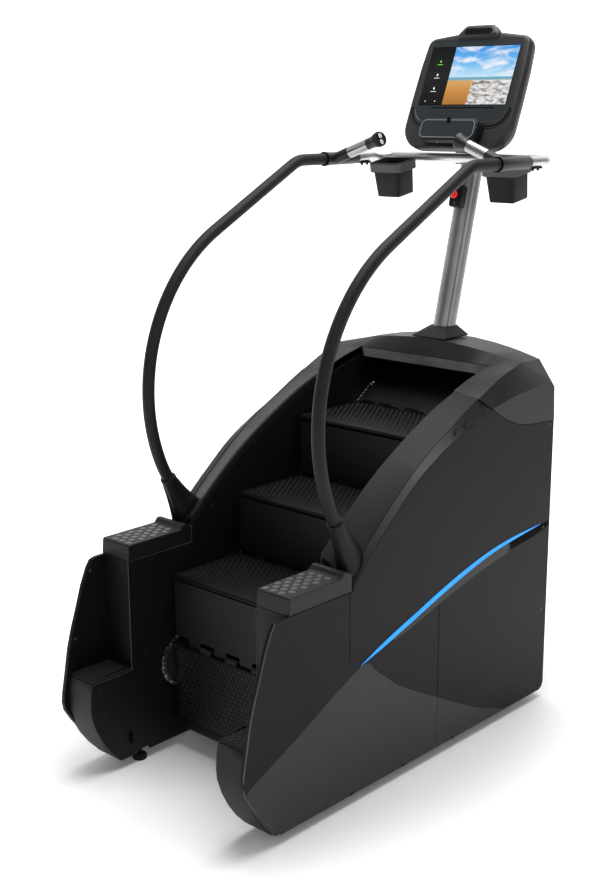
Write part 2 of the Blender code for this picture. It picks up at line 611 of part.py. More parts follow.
def build_hood():
    bm = bmesh.new()
    place = {}

    def vert(p):
        key = tuple(round(c, 6) for c in p)
        if key not in place:
            place[key] = bm.verts.new(p)
        return place[key]

    def strip(row, following):
        for side in (1, -1):
            for i in range(len(row) - 1):
                quad = (row[i], row[i + 1], following[i + 1], following[i])
                quad = [(side * x, y, z) for x, y, z in quad]
                corners = []
                for p in quad:
                    v = vert(p)
                    if v not in corners:
                        corners.append(v)
                if len(corners) > 2 and bm.faces.get(corners) is None:
                    bm.faces.new(corners if side > 0 else corners[::-1])

    def skirt(row):
        y = row[-1][1]
        return row + [(SIDE_X, y, spline(HOOD_EDGE, min(y, REAR_Y)))]

    front = hood_row("front")
    strip(hood_row("valance"), front[:5])
    arms = [arm_row(y) for y in HOOD_ROWS[:5]]
    arms.append(skirt(front)[4:])
    for a, b in zip(arms, arms[1:]):
        strip(a, b)
    rows = [skirt(front), skirt(hood_row("crease")), skirt(hood_row("top"))]
    for a, b in zip(rows, rows[1:]):
        strip(a, b)
    rear, foot = hood_row("rear"), hood_row("foot")
    strip(rows[-1][:8], rear)
    strip(rear, foot)
    corner = [(SIDE_X, 1.246, 1.088), rear[-1], foot[-1], rows[-1][-1]]
    for side in (1, -1):
        points = [vert((side * x, y, z)) for x, y, z in corner]
        bm.faces.new(points if side < 0 else points[::-1])
    bmesh.ops.recalc_face_normals(bm, faces=bm.faces)
    if sum(f.normal.z * f.calc_area() for f in bm.faces) < 0:
        bmesh.ops.reverse_faces(bm, faces=bm.faces)
    mesh = bpy.data.meshes.new("hood")
    bm.to_mesh(mesh)
    bm.free()
    mesh.materials.append(material("grey_cap"))
    mesh.shade_smooth()
    mesh.set_sharp_from_angle(angle=math.radians(25.0))
    hood = bpy.data.objects.new("hood", mesh)
    hood.location = (0.0, -Y_MID, LIFT)
    bpy.context.collection.objects.link(hood)
    wall = hood.modifiers.new("wall", "SOLIDIFY")
    wall.thickness = 0.004
    wall.offset = -1.0
    wall.use_even_offset = True
    hole = lathe((0.0, 1.171, 1.14), (0, 0, 1), [(0.0, 0.045), (0.10, 0.045)])
    combine(hood, emit("hood_mast_hole", hole, "grey_cap"), "DIFFERENCE")


def build_rear_cover():
    rows = []
    for z in (0.014, 0.030, HOOD_LOW - 2 * GAP):
        y = REAR_Y + (0.000 if z > 0.02 else -0.004)
        rows.append([(-SIDE_X + 0.004, y + 0.0004, z), (SIDE_X - 0.004, y + 0.0004, z),
                     (SIDE_X - 0.010, y + 0.0054, z), (-SIDE_X + 0.010, y + 0.0054, z)])
    emit("rear_cover", loft(rows), "charcoal")
    inlet = box(0.225, 0.275, REAR_Y + 0.0058, REAR_Y + 0.0130, 0.090, 0.130)
    block = emit("power_inlet", inlet, "black_plastic")
    socket = box(0.232, 0.268, REAR_Y + 0.0085, REAR_Y + 0.030, 0.098, 0.122)
    combine(block, emit("inlet_socket", socket, "black_plastic"), "DIFFERENCE")


# ---- mast, handrails and crossbar ------------------------------------------------------------------
def mast_point(along):
    return 0.0, MAST_FOOT[0] + along * math.sin(MAST_LEAN), MAST_FOOT[1] + along * math.cos(MAST_LEAN)


def console_point(x, v, n):
    """Point at x across, v up the display face and n in front of it."""
    s, c = math.sin(CONSOLE_TILT), math.cos(CONSOLE_TILT)
    return x, CONSOLE[0] + v * s - n * c, CONSOLE[1] + v * c + n * s


def build_mast():
    length = math.hypot(MAST_HEAD[0] - MAST_FOOT[0], MAST_HEAD[1] - MAST_FOOT[1])
    direction = Vector(mast_point(length)) - Vector(mast_point(0.0))
    profile = [(-0.012, MAST_R), (length, MAST_R)]
    mast = emit("mast", lathe(mast_point(0.0), direction, profile, 32), "mast_metal")
    saddle = box(-0.045, 0.045, BAR_Y + BAR_R + GAP, 1.335, 1.768, 1.812)
    combine(mast, emit("mast_saddle", saddle, "mast_metal"), "UNION")
    corners = ((-0.060, -0.175), (0.060, -0.175), (0.060, -0.075), (-0.060, -0.075))
    plate = loft([[console_point(x, v, n) for x, v in corners] for n in (-0.0765, -0.0960)])
    combine(mast, emit("mast_plate", plate, "mast_metal"), "UNION")

    rings = []
    neck = MAST_R + 0.003
    for along, half, round_off in ((0.0, 0.068, 0.004), (0.004, 0.068, 0.006), (0.034, neck, 0.030)):
        cy = 1.1620 + along * 0.60
        shape = rounded_rect(-half, half, -half, half, round_off, 6)
        rings.append([(x, cy + y, MAST_FOOT[1] + 0.0006 + along) for x, y in shape])
    boot = emit("mast_boot", loft(rings), "black_plastic")
    bore = lathe(mast_point(-0.03), direction, [(0.0, MAST_R + GAP), (0.12, MAST_R + GAP)], 32)
    combine(boot, emit("boot_bore", bore, "black_plastic"), "DIFFERENCE")


def rail_path():
    """Handrail centre line from its foot to the grip sleeve, (y, z)."""
    foot_lean = math.radians(25.0)
    start = (0.2985, 0.7190)
    arc_y, arc_z, bend = 0.717, 1.100, 0.550
    points = [start]
    points += [(arc_y - bend * math.cos(math.radians(a)), arc_z + bend * math.sin(math.radians(a)))
               for a in spread(-math.degrees(foot_lean), 62.0, 14)]
    climb = math.radians(28.0)
    corner = (0.837, ARM_Z)
    fillet = 0.12
    back = fillet * math.tan(climb / 2)
    points.append((corner[0] - back * math.cos(climb) - 0.10,
                   corner[1] - back * math.sin(climb) - 0.10 * math.tan(climb)))
    turn = math.degrees(climb)
    points += arc(corner[0] + back, ARM_Z - fillet, fillet, 90 + turn, 90, 5)
    points.append((0.9617, ARM_Z))
    return points


def cover_top(x, y):
    """Height of the covers under a point beside the staircase."""
    if y < 0.262:
        return PAD_TOP
    inner, seam, crease = spline(INNER_EDGE, y), spline(SEAM_EDGE, y), spline(CREASE_EDGE, y)
    if x <= SEAM_X:
        return inner + (seam - inner) * max(x - CAP_X, 0.0) / (SEAM_X - CAP_X)
    return seam + (crease - seam) * (x - SEAM_X) / (SIDE_X - SEAM_X)


def build_handrails():
    path = rail_path()
    for name, side in SIDES:
        emit(f"{name}_handrail", tube([(RAIL_X * side, y, z) for y, z in path], RAIL_R, 16), "rail_coat")
        emit(f"{name}_handrail_boot", mirrored(boot_solid(path), side), "black_plastic")


def boot_solid(path):
    """Conical boot round the rail's foot: its hem follows the covers and its bore clears the rail."""
    (y0, z0), (y1, z1) = path[0], path[1]
    lean = Vector((0.0, y1 - y0, z1 - z0)).normalized()
    side, up = Vector((1.0, 0.0, 0.0)), lean.cross(Vector((1.0, 0.0, 0.0)))
    foot = Vector((0.3475, 0.3020, 0.7080))
    count = 20
    turns = [2 * math.pi * i / count for i in range(count)]

    def ring(along, radius):
        centre = Vector((RAIL_X, y0, z0)) + lean * along
        return [centre + side * radius * math.cos(a) + up * radius * math.sin(a) for a in turns]

    hem, hem_inner = [], []
    for a in turns:
        for radius, store in ((0.0420, hem), (RAIL_R + 0.0040, hem_inner)):
            x = foot.x + radius * math.cos(a)
            y = foot.y + radius * math.sin(a) * 0.95
            store.append(Vector((x, y, cover_top(x, y) + 0.0030)))
    skirt = [p + Vector((0, 0, 0.006)) for p in hem]
    return loft([hem, skirt, ring(0.055, 0.029), ring(0.135, 0.0215), ring(0.135, RAIL_R + GAP),
                 ring(0.030, RAIL_R + GAP), hem_inner], closed=True)


def build_crossbar():
    """Tube from one grip sleeve round behind the bins to the other."""
    turn_r, reach = 0.062, RAIL_X + 0.002
    half = [(RAIL_X, 1.1305), (RAIL_X, 1.150)]
    half += arc(reach - turn_r, BAR_Y - turn_r, turn_r, 0, 90, 7)
    half.append((0.15, BAR_Y))
    path = [(x, y) for x, y in half] + [(-x, y) for x, y in reversed(half)]
    emit("crossbar", tube([(x, y, ARM_Z + 0.002) for x, y in path], BAR_R, 14), "mast_metal")


ARM_OUT, ARM_IN = Vector((0.3400, 1.0100, 1.7860)), Vector((0.1540, 1.0230, 1.8540))


def build_grips():
    """Dark T-shaped sleeve whose arm carries a chrome contact and ends in a round key pod."""
    run = (ARM_IN - ARM_OUT).normalized()
    reach = (ARM_IN - ARM_OUT).length
    for name, side in SIDES:
        sleeve_path = lathe((RAIL_X, 0.9621, ARM_Z), (0, 1, 0),
                            [(0.0, 0.0225), (0.004, 0.0235), (0.030, 0.0215), (0.1680, 0.0200)], 20)
        arm = emit(f"{name}_grip_arm", mirrored(sleeve_path, side), "rail_coat")
        profile = [(0.004, 0.0185), (0.062, 0.0190), (0.067, 0.0155), (0.1500, 0.0155), (0.1550, 0.0195),
                   (0.172, 0.0245), (reach - 0.004, 0.0250), (reach, 0.0230)]
        limb = mirrored(lathe(ARM_OUT, run, profile, 20), side)
        combine(arm, emit(f"{name}_grip_limb", limb, "rail_coat"), "UNION")
        band = mirrored(sleeve(ARM_OUT + run * 0.0680, run, 0.0800, 0.0190, 0.0158, 20), side)
        emit(f"{name}_pulse_contact", band, "chrome")
        up = (Vector((0, 0, 1)) - run * run.z).normalized()
        for key, sign in (("up", 1), ("down", -1)):
            centre = ARM_IN + up * (0.0105 * sign)
            well = mirrored(lathe(centre - run * 0.0060, run, [(0.0, 0.0085), (0.02, 0.0085)], 16), side)
            combine(arm, emit(f"{name}_{key}_well", well, "rail_coat"), "DIFFERENCE")
            base = centre - run * 0.0040
            cap = mirrored(lathe(base, run, [(0.0, 0.0080), (0.0048, 0.0080), (0.0058, 0.0068)], 16), side)
            emit(f"{name}_{key}_button", cap, "key_white", (base.x * side, base.y, base.z))


def build_stop_button():
    """Emergency stop: a slim box strapped to the front of the mast, with a red push button."""
    middle = Vector(mast_point((1.652 - MAST_FOOT[1]) / math.cos(MAST_LEAN)))
    along = Vector((0.0, math.sin(MAST_LEAN), math.cos(MAST_LEAN)))
    out = Vector((0.0, -math.cos(MAST_LEAN), math.sin(MAST_LEAN)))
    shape = rounded_rect(-0.024, 0.024, -0.036, 0.036, 0.006, 3)
    rings = [[middle + Vector((x * k, 0, 0)) + along * (v * k) + out * n for x, v in shape]
             for n, k in ((MAST_R + GAP, 1.0), (MAST_R + 0.022, 1.0), (MAST_R + 0.026, 0.93))]
    housing = emit("stop_button_housing", loft(rings), "black_plastic")
    face = middle + along * 0.002 + out * (MAST_R + 0.026)
    well = lathe(face - out * 0.014, out, [(0.0, 0.0085), (0.03, 0.0085)], 20)
    combine(housing, emit("stop_well", well, "black_plastic"), "DIFFERENCE")
    base = face - out * 0.006
    profile = [(0.0, 0.0080), (0.0115, 0.0080), (0.0115, 0.0130), (0.0170, 0.0130),
               (0.0195, 0.0110), (0.0205, 0.0070)]
    emit("stop_button", lathe(base, out, profile, 20), "stop_red", base)


BIN_RIM, BIN_TILT = (0.2312, 1.1814, 1.7784), 10.5
# Sections of a bin from its outer bottom up over the rim and down to its inner floor: depth below the
# rim, half widths, corner radius.
BIN_SECTIONS = (
    (0.1160, 0.0450, 0.0400, 0.008), (0.1120, 0.0480, 0.0425, 0.010), (0.0325, 0.0555, 0.0445, 0.012),
    (0.0320, 0.0665, 0.0500, 0.012), (0.0025, 0.0674, 0.0510, 0.012), (0.0000, 0.0654, 0.0490, 0.011),
    (0.0000, 0.0620, 0.0455, 0.010), (0.0320, 0.0520, 0.0405, 0.009), (0.1120, 0.0445, 0.0385, 0.008))


def build_bins():
    """Tapered cup and phone bins hung in front of the crossbar, open at the top, tipped to the user."""
    x0, y0, z0 = BIN_RIM
    for name, side in SIDES:
        rings = []
        for depth, half_x, half_y, radius in BIN_SECTIONS:
            shape = rounded_rect(x0 - half_x, x0 + half_x, y0 - half_y, y0 + half_y, radius)
            rings.append([(x, y, z0 - depth) for x, y in shape])
        cup = turned(loft(rings), BIN_TILT, (y0, z0))
        emit(f"{name}_bin", mirrored(cup, side), "black_plastic")


# ---- console ---------------------------------------------------------------------------------------
def console_outline(grow=0.0, low=-0.251):
    """Face outline in (x, v), counter-clockwise: arched top, slightly full sides, deep round bottom."""
    bottom_corner, top_corner = 0.082 + grow, max(0.030 + grow, 0.008)
    right = arc(0.2128 + grow - bottom_corner, low - grow + bottom_corner, bottom_corner, -90, 0, 7)
    right += [(0.2128 + grow, -0.080), (0.2105 + grow, 0.030)]
    right += arc(0.2040 + grow - top_corner, 0.136 + grow - top_corner, top_corner, 5, 80, 5)
    right += [(0.090, 0.1475 + grow)]
    left = [(-x, v) for x, v in reversed(right)]
    return right + [(0.0, 0.1500 + grow)] + left


def console_ring(n, grow):
    return [console_point(x, v, n) for x, v in console_outline(grow)]


def panel(margin, n0, n1):
    """Flat slab the size of the display, less a margin all round, from depth n0 to n1."""
    w, h = SCREEN_HALF - margin, SCREEN_HIGH - margin
    corners = ((-w, -h), (w, -h), (w, h), (-w, h))
    return loft([[console_point(x, v, n) for x, v in corners] for n in (n0, n1)])


def build_console():
    shell = ((-0.0760, -0.040), (-0.0700, -0.026), (-0.0450, -0.006), (-0.0215, 0.0))
    face = ((-0.0210, 0.0), (-0.0060, 0.0), (0.0, -0.006))
    emit("console_back", loft([console_ring(n, grow) for n, grow in shell]), "charcoal")
    bezel = emit("console_bezel", loft([console_ring(n, grow) for n, grow in face]), "charcoal")
    rings = []
    for n, k in ((-0.0205, 1.0), (0.0080, 1.0), (0.0120, 0.93)):
        shape = rounded_rect(-0.073 * k, 0.073 * k, 0.120, 0.1500 + 0.022 * k, 0.010, 4)
        rings.append([console_point(x, v, n) for x, v in shape])
    hump = loft(rings)
    combine(bezel, emit("console_hump", hump, "charcoal"), "UNION")
    combine(bezel, emit("screen_pocket", panel(0.0, -0.0080, 0.020), "charcoal"), "DIFFERENCE")
    emit("display_screen", panel(2 * GAP, -0.0076, -0.0012), "screen_glass")
    rings = []
    for n, k, low in ((GAP, 1.0, -0.238), (0.0340, 1.0, -0.242), (0.0400, 0.96, -0.240)):
        shape = rounded_rect(-0.116 * k, 0.116 * k, low, -0.160, 0.016, 4)
        rings.append([console_point(x, v, n) for x, v in shape])
    emit("device_shelf", loft(rings), "charcoal")


def main():
    clear_scene()
    build_steps()
    build_drive()
    build_frame()
    build_feet()
    build_side_panels()
    build_inner_walls()
    build_pads()
    build_arch_caps()
    build_hood()
    build_rear_cover()
    build_mast()
    build_handrails()
    build_crossbar()
    build_grips()
    build_stop_button()
    build_bins()
    build_console()


main()
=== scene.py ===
"""Looks of the stair climber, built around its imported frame.

Like the part's source, functions here measure y from the landing pads' front face and z from just under
the covers; `add` shifts each finished mesh into the frame.
"""

import json
import math

import bmesh
import bpy
from mathutils import Matrix, Vector

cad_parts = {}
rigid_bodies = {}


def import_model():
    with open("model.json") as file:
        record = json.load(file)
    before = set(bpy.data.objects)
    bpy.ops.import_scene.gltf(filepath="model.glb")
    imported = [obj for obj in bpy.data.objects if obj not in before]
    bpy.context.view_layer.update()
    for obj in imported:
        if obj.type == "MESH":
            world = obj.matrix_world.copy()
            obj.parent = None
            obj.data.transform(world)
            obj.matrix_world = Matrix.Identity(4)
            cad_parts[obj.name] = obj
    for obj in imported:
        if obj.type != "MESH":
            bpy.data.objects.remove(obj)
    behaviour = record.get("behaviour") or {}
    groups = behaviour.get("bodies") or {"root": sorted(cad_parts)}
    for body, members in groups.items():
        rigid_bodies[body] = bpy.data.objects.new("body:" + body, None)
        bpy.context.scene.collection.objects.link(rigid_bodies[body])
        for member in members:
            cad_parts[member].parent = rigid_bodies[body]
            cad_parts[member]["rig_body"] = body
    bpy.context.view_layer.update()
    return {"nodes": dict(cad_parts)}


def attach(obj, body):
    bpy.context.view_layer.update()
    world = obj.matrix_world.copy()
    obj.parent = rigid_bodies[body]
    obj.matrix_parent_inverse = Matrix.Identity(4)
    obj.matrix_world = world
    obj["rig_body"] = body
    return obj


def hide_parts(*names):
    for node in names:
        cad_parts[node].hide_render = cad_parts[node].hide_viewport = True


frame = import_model()
NODES = frame["nodes"]

# ---- driving dimensions, in metres, shared with the part -------------------------------------------
Y_MID, LIFT = 0.6108, 0.0245
RISE, RUN = 0.2032, 0.2871
SLOPE = math.hypot(RISE, RUN)
DY, DZ = RUN / SLOPE, RISE / SLOPE
HINGE_Y, HINGE_Z = 0.170, 0.340
STEP_HALF, TREAD_TOP, TREAD_THICK, NOSE_OUT = 0.2535, 0.0168, 0.018, 0.007
TAB_X = (-0.224, -0.112, 0.0, 0.112, 0.224)
TAB_WIDE = 0.048
WALL_X, SEAM_X, SIDE_X = 0.2697, 0.3650, 0.3926
PAD_LOW, PAD_TOP, PAD_BACK = 0.638, 0.6876, 0.258
CAP_X = WALL_X + 0.006
STEP_RIM = 0.288
HANG = math.radians(93.4)           # the lowest tread hangs this far below level
CHAIN_R, CHAIN_X = 0.078, (0.2555, 0.2665)
LOWER_ALONG, STEP_COUNT = 0.020, 8
RAIL_X, RAIL_R, ARM_Z = 0.3475, 0.019, 1.787
BAR_Y, BAR_R = 1.2700, 0.016
OPEN_Y, OPEN_Z = 1.070, 1.151
MAST_FOOT, MAST_HEAD, MAST_R = (1.1780, 1.2062), (1.3634, 1.9300), 0.0372
MAST_LEAN = math.atan2(MAST_HEAD[0] - MAST_FOOT[0], MAST_HEAD[1] - MAST_FOOT[1])
CONSOLE, CONSOLE_TILT = (1.2889, 2.0534), math.radians(22.8)
SCREEN_HALF, SCREEN_HIGH = 0.1735, 0.1002
ARM_OUT, ARM_IN = Vector((0.3400, 1.0100, 1.7860)), Vector((0.1540, 1.0230, 1.8540))
REAR_Y = 1.270
SIDES = (("left", -1), ("right", 1))

# Lines on the covers as (y, z): accent stripe, facets and front edge, then the seams over the arch.
STRIPE_TOP = ((0.299, 0.4015), (0.369, 0.4298), (0.459, 0.4612), (0.552, 0.4900), (0.662, 0.5248),
              (0.804, 0.5640),
              (0.939, 0.5920), (1.065, 0.6060), (1.215, 0.6130))
STRIPE_LOW = ((0.299, 0.4010), (0.375, 0.4207), (0.466, 0.4470), (0.559, 0.4755), (0.669, 0.5095),
              (0.813, 0.5500),
              (0.940, 0.5790), (1.030, 0.5920), (1.215, 0.6120))
BAND_LOW = ((0.433, 0.4370), (0.466, 0.4350), (0.566, 0.4587), (0.677, 0.4890), (0.821, 0.5230),
            (0.942, 0.5460),
            (1.043, 0.5614))
FACET_TOP = ((-0.1492, 0.1428), (-0.1715, 0.1800), (-0.155, 0.192), (-0.078, 0.226), (0.041, 0.279),
             (0.165, 0.341),
             (0.299, 0.4005))
FACET_BACK = ((0.337, 0.398), (0.370, 0.3620), (0.462, 0.2900), (0.565, 0.2300), (0.674, 0.1743),
              (0.787, 0.1150),
              (0.873, 0.0715), (1.040, 0.0080))
FRONT_EDGE = ((-0.036, 0.0080), (-0.075, 0.0450), (-0.113, 0.0900), (-0.151, 0.1420), (-0.174, 0.1800),
              (-0.1785, 0.2080), (-0.176, 0.2350), (-0.164, 0.2950), (-0.150, 0.3700), (-0.133, 0.4300),
              (-0.112, 0.4900), (-0.089, 0.5600), (-0.068, 0.6080), (-0.052, 0.6320))
SEAM_EDGE = ((0.262, 0.652), (0.315, 0.705), (0.363, 0.753), (0.450, 0.828), (0.547, 0.904),
             (0.640, 0.965), (0.737, 1.015), (0.837, 1.066), (0.990, 1.134), (OPEN_Y, 1.157))
CREASE_EDGE = ((0.262, 0.646), (0.363, 0.748), (0.450, 0.822), (0.547, 0.897), (0.653, 0.955),
               (0.711, 0.981), (0.800, 1.012), (0.851, 1.033), (0.955, 1.059), (1.064, 1.076),
               (1.153, 1.082), (1.262, 1.084))
INNER_EDGE = ((0.262, 0.724), (0.359, 0.808), (0.479, 0.900), (0.617, 0.983), (0.761, 1.054),
              (0.861, 1.091), (0.965, 1.126), (OPEN_Y, OPEN_Z))
HOOD_EDGE = ((0.880, 1.086), (0.922, 1.050), (0.957, 1.027), (1.013, 0.998), (1.070, 0.977),
             (1.157, 0.965), (REAR_Y, 0.957))


# ---- shape helpers ---------------------------------------------------------------------------------
def spread(low, high, count):
    return [low + (high - low) * i / (count - 1) for i in range(count)]


def arc(cy, cz, radius, start, end, count):
    angles = [math.radians(a) for a in spread(start, end, count)]
    return [(cy + radius * math.cos(a), cz + radius * math.sin(a)) for a in angles]


def spline(points, y):
    """Smooth curve through (y, z) points, read at y."""
    last = len(points) - 1
    k = 0
    while k < last - 1 and y > points[k + 1][0]:
        k += 1

    def slope(i):
        a, b = points[max(i - 1, 0)], points[min(i + 1, last)]
        return (b[1] - a[1]) / (b[0] - a[0])

    (y0, z0), (y1, z1) = points[k], points[k + 1]
    h = y1 - y0
    t = (y - y0) / h
    return ((2 * t**3 - 3 * t**2 + 1) * z0 + (t**3 - 2 * t**2 + t) * h * slope(k)
            + (3 * t**2 - 2 * t**3) * z1 + (t**3 - t**2) * h * slope(k + 1))


def loft(rings, closed=False):
    bm = bmesh.new()
    made = [[bm.verts.new(p) for p in ring] for ring in rings]
    count = len(made[0])
    pairs = list(zip(made, made[1:]))
    if closed:
        pairs.append((made[-1], made[0]))
    for a, b in pairs:
        for i in range(count):
            j = (i + 1) % count
            bm.faces.new((a[i], a[j], b[j], b[i]))
    if not closed:
        bm.faces.new(made[0])
        bm.faces.new(made[-1])
    return bm


def frame_along(direction):
    axis = Vector(direction).normalized()
    side = axis.orthogonal().normalized()
    if abs(axis.x) < 0.9:
        side = (Vector((1.0, 0.0, 0.0)) - axis * axis.x).normalized()
    return axis, side, axis.cross(side)


def circle(centre, side, up, radius, segments):
    turn = [2 * math.pi * i / segments for i in range(segments)]
    return [centre + side * radius * math.cos(a) + up * radius * math.sin(a) for a in turn]


def lathe(start, direction, profile, segments=40, closed=False):
    """Turned solid: profile is (distance along the axis, radius)."""
    axis, side, up = frame_along(direction)
    rings = [circle(Vector(start) + axis * along, side, up, radius, segments) for along, radius in profile]
    return loft(rings, closed)


def tube(path, radius, segments=40):
    points = [Vector(p) for p in path]
    rings = []
    side = None
    for i, p in enumerate(points):
        ahead = (points[min(i + 1, len(points) - 1)] - points[max(i - 1, 0)]).normalized()
        if side is None:
            side = frame_along(ahead)[1]
        side = (side - ahead * ahead.dot(side)).normalized()
        rings.append(circle(p, side, ahead.cross(side), radius, segments))
    return loft(rings)


def prism(outline, x0, x1):
    return loft([[(x0, y, z) for y, z in outline], [(x1, y, z) for y, z in outline]])


def box(x0, x1, y0, y1, z0, z1):
    return prism([(y0, z0), (y1, z0), (y1, z1), (y0, z1)], x0, x1)


def rounded_rect(x0, x1, y0, y1, radius, count=6):
    points = []
    for cx, cy, start in ((x1 - radius, y1 - radius, 0), (x0 + radius, y1 - radius, 90),
                          (x0 + radius, y0 + radius, 180), (x1 - radius, y0 + radius, 270)):
        points += arc(cx, cy, radius, start, start + 90, count)
    return points


def merge(*parts):
    """One bmesh from several."""
    whole = bmesh.new()
    for part in parts:
        mesh = bpy.data.meshes.new("part")
        part.to_mesh(mesh)
        part.free()
        whole.from_mesh(mesh)
        bpy.data.meshes.remove(mesh)
    return whole


def mirrored(bm, side):
    if side < 0:
        bmesh.ops.scale(bm, verts=bm.verts, vec=(-1.0, 1.0, 1.0))
    return bm


def turned(bm, angle, pivot):
    """Turn about X through the (y, z) pivot; a positive angle, in radians, takes +Y towards +Z."""
    centre = Vector((0.0, *pivot))
    bmesh.ops.rotate(bm, verts=bm.verts, cent=centre, matrix=Matrix.Rotation(angle, 3, "X"))
    return bm


def finish_mesh(obj, angle, bevel, segments=2):
    obj.data.shade_smooth()
    obj.data.set_sharp_from_angle(angle=math.radians(angle))
    if bevel:
        soften = obj.modifiers.new("edges", "BEVEL")
        soften.width = bevel
        soften.segments = segments
        soften.limit_method = "ANGLE"
        soften.angle_limit = math.radians(32.0)
        soften.harden_normals = True


def add(name, bm, look, body="base", smooth=35.0, bevel=0.0, segments=2, replaces=()):
    """Put a mesh of machine coordinates into the scene as a piece that rides on a body."""
    bmesh.ops.recalc_face_normals(bm, faces=bm.faces)
    bmesh.ops.translate(bm, verts=bm.verts, vec=(0.0, -Y_MID, LIFT))
    mesh = bpy.data.meshes.new(name)
    bm.to_mesh(mesh)
    bm.free()
    obj = bpy.data.objects.new(name, mesh)
    bpy.context.scene.collection.objects.link(obj)
    finish_mesh(obj, smooth, bevel, segments)
    mesh.materials.append(look)
    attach(obj, body)
    if replaces:
        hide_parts(*replaces)
    return obj


def refine(node, look, bevel=0.0012, segments=2, smooth=35.0):
    """A copy of a CAD node with its flat faces made whole again and its edges rounded."""
    source = NODES[node]
    bm = bmesh.new()
    bm.from_mesh(source.data)
    bmesh.ops.remove_doubles(bm, verts=bm.verts, dist=1e-5)
    bmesh.ops.dissolve_limit(bm, angle_limit=math.radians(0.4), verts=bm.verts, edges=bm.edges)
    mesh = bpy.data.meshes.new(node + "_shell")
    bm.to_mesh(mesh)
    bm.free()
    obj = bpy.data.objects.new(node + "_shell", mesh)
    bpy.context.scene.collection.objects.link(obj)
    mesh.materials.clear()
    mesh.materials.append(look)
    finish_mesh(obj, smooth, bevel, segments)
    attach(obj, source["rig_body"])
    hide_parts(node)
    return obj


# ---- materials -------------------------------------------------------------------------------------


def surface(name, colour, rough, metal=0.0, grain=0.0, grain_size=0.0008, mottle=0.12, streak=None,
            specular=0.5, coat=0.0, emit=0.0):
    """Plastic, rubber or painted metal: mottled colour, uneven gloss and a fine moulded or brushed grain."""
    made = bpy.data.materials.new(name)
    made.use_nodes = True
    tree = made.node_tree
    shader = tree.nodes["Principled BSDF"]
    place = tree.nodes.new("ShaderNodeTexCoord")
    stretch = tree.nodes.new("ShaderNodeMapping")
    stretch.inputs["Scale"].default_value = streak or (1.0, 1.0, 1.0)
    tree.links.new(place.outputs["Object"], stretch.inputs["Vector"])

    broad = tree.nodes.new("ShaderNodeTexNoise")
    broad.inputs["Scale"].default_value = 9.0
    broad.inputs["Detail"].default_value = 5.0
    tree.links.new(place.outputs["Object"], broad.inputs["Vector"])
    tint = tree.nodes.new("ShaderNodeValToRGB")
    low = [c * (1.0 - mottle) for c in colour]
    high = [min(c * (1.0 + mottle), 1.0) for c in colour]
    tint.color_ramp.elements[0].position, tint.color_ramp.elements[0].color = 0.35, (*low, 1.0)
    tint.color_ramp.elements[1].position, tint.color_ramp.elements[1].color = 0.65, (*high, 1.0)
    tree.links.new(broad.outputs["Fac"], tint.inputs["Fac"])
    tree.links.new(tint.outputs["Color"], shader.inputs["Base Color"])

    fine = tree.nodes.new("ShaderNodeTexNoise")
    fine.inputs["Scale"].default_value = 1.0 / grain_size / 6.0
    fine.inputs["Detail"].default_value = 4.0
    tree.links.new(stretch.outputs["Vector"], fine.inputs["Vector"])
    gloss = tree.nodes.new("ShaderNodeMapRange")
    gloss.inputs["To Min"].default_value = max(rough - 0.06, 0.02)
    gloss.inputs["To Max"].default_value = min(rough + 0.06, 1.0)
    tree.links.new(fine.outputs["Fac"], gloss.inputs["Value"])
    tree.links.new(gloss.outputs["Result"], shader.inputs["Roughness"])
    if grain:
        bump = tree.nodes.new("ShaderNodeBump")
        bump.inputs["Strength"].default_value = grain
        bump.inputs["Distance"].default_value = 0.0004
        tree.links.new(fine.outputs["Fac"], bump.inputs["Height"])
        tree.links.new(bump.outputs["Normal"], shader.inputs["Normal"])
    shader.inputs["Metallic"].default_value = metal
    shader.inputs["Specular IOR Level"].default_value = specular
    shader.inputs["Coat Weight"].default_value = coat
    # emit makes the surface glow in its own colour; on parts that are no lamp this glow is painted light.
    if emit:
        tree.links.new(tint.outputs["Color"], shader.inputs["Emission Color"])
        shader.inputs["Emission Strength"].default_value = emit
    return made


CHARCOAL = surface("charcoal_moulding", (0.0042, 0.0042, 0.0044), 0.50, grain=0.25, specular=0.13)
FACET = surface("grey_facet", (0.0125, 0.0125, 0.0128), 0.50, grain=0.25, specular=0.32)
CAP = surface("cap_moulding", (0.0150, 0.0150, 0.0152), 0.46, grain=0.22, specular=0.24)
# A lighter grey than the side moulding: on the ridge face beside the arch cap it is painted highlight; the
# grip pods' rings and the console's lower lip take it too.
RIDGE = surface("grey_moulding_and_ridge_highlight", (0.0105, 0.0105, 0.0107), 0.48, grain=0.22, specular=0.3)
BLACK = surface("black_moulding", (0.0032, 0.0032, 0.0035), 0.52, grain=0.30, specular=0.22)
# Near-black: the own colour of seams, the display border and small black parts, and painted shade where it
# fills slots, vents, notches, grooves, creases and the stripe recess.
BLACK_AND_SHADE = surface("black_and_painted_shade", (0.0010, 0.0010, 0.0010), 0.75, grain=0.20, specular=0.06)
TREAD = surface("tread_plastic", (0.0030, 0.0030, 0.0032), 0.48, grain=0.35, specular=0.16)
# The studs are a shade lighter than the tread plastic they are moulded in: painted highlight on their tops.
TREAD_STUD_LIT = surface("tread_stud", (0.0045, 0.0045, 0.0048), 0.38, grain=0.25, specular=0.3)
PAD = surface("pad_rubber", (0.0055, 0.0055, 0.0057), 0.52, grain=0.40, specular=0.28)
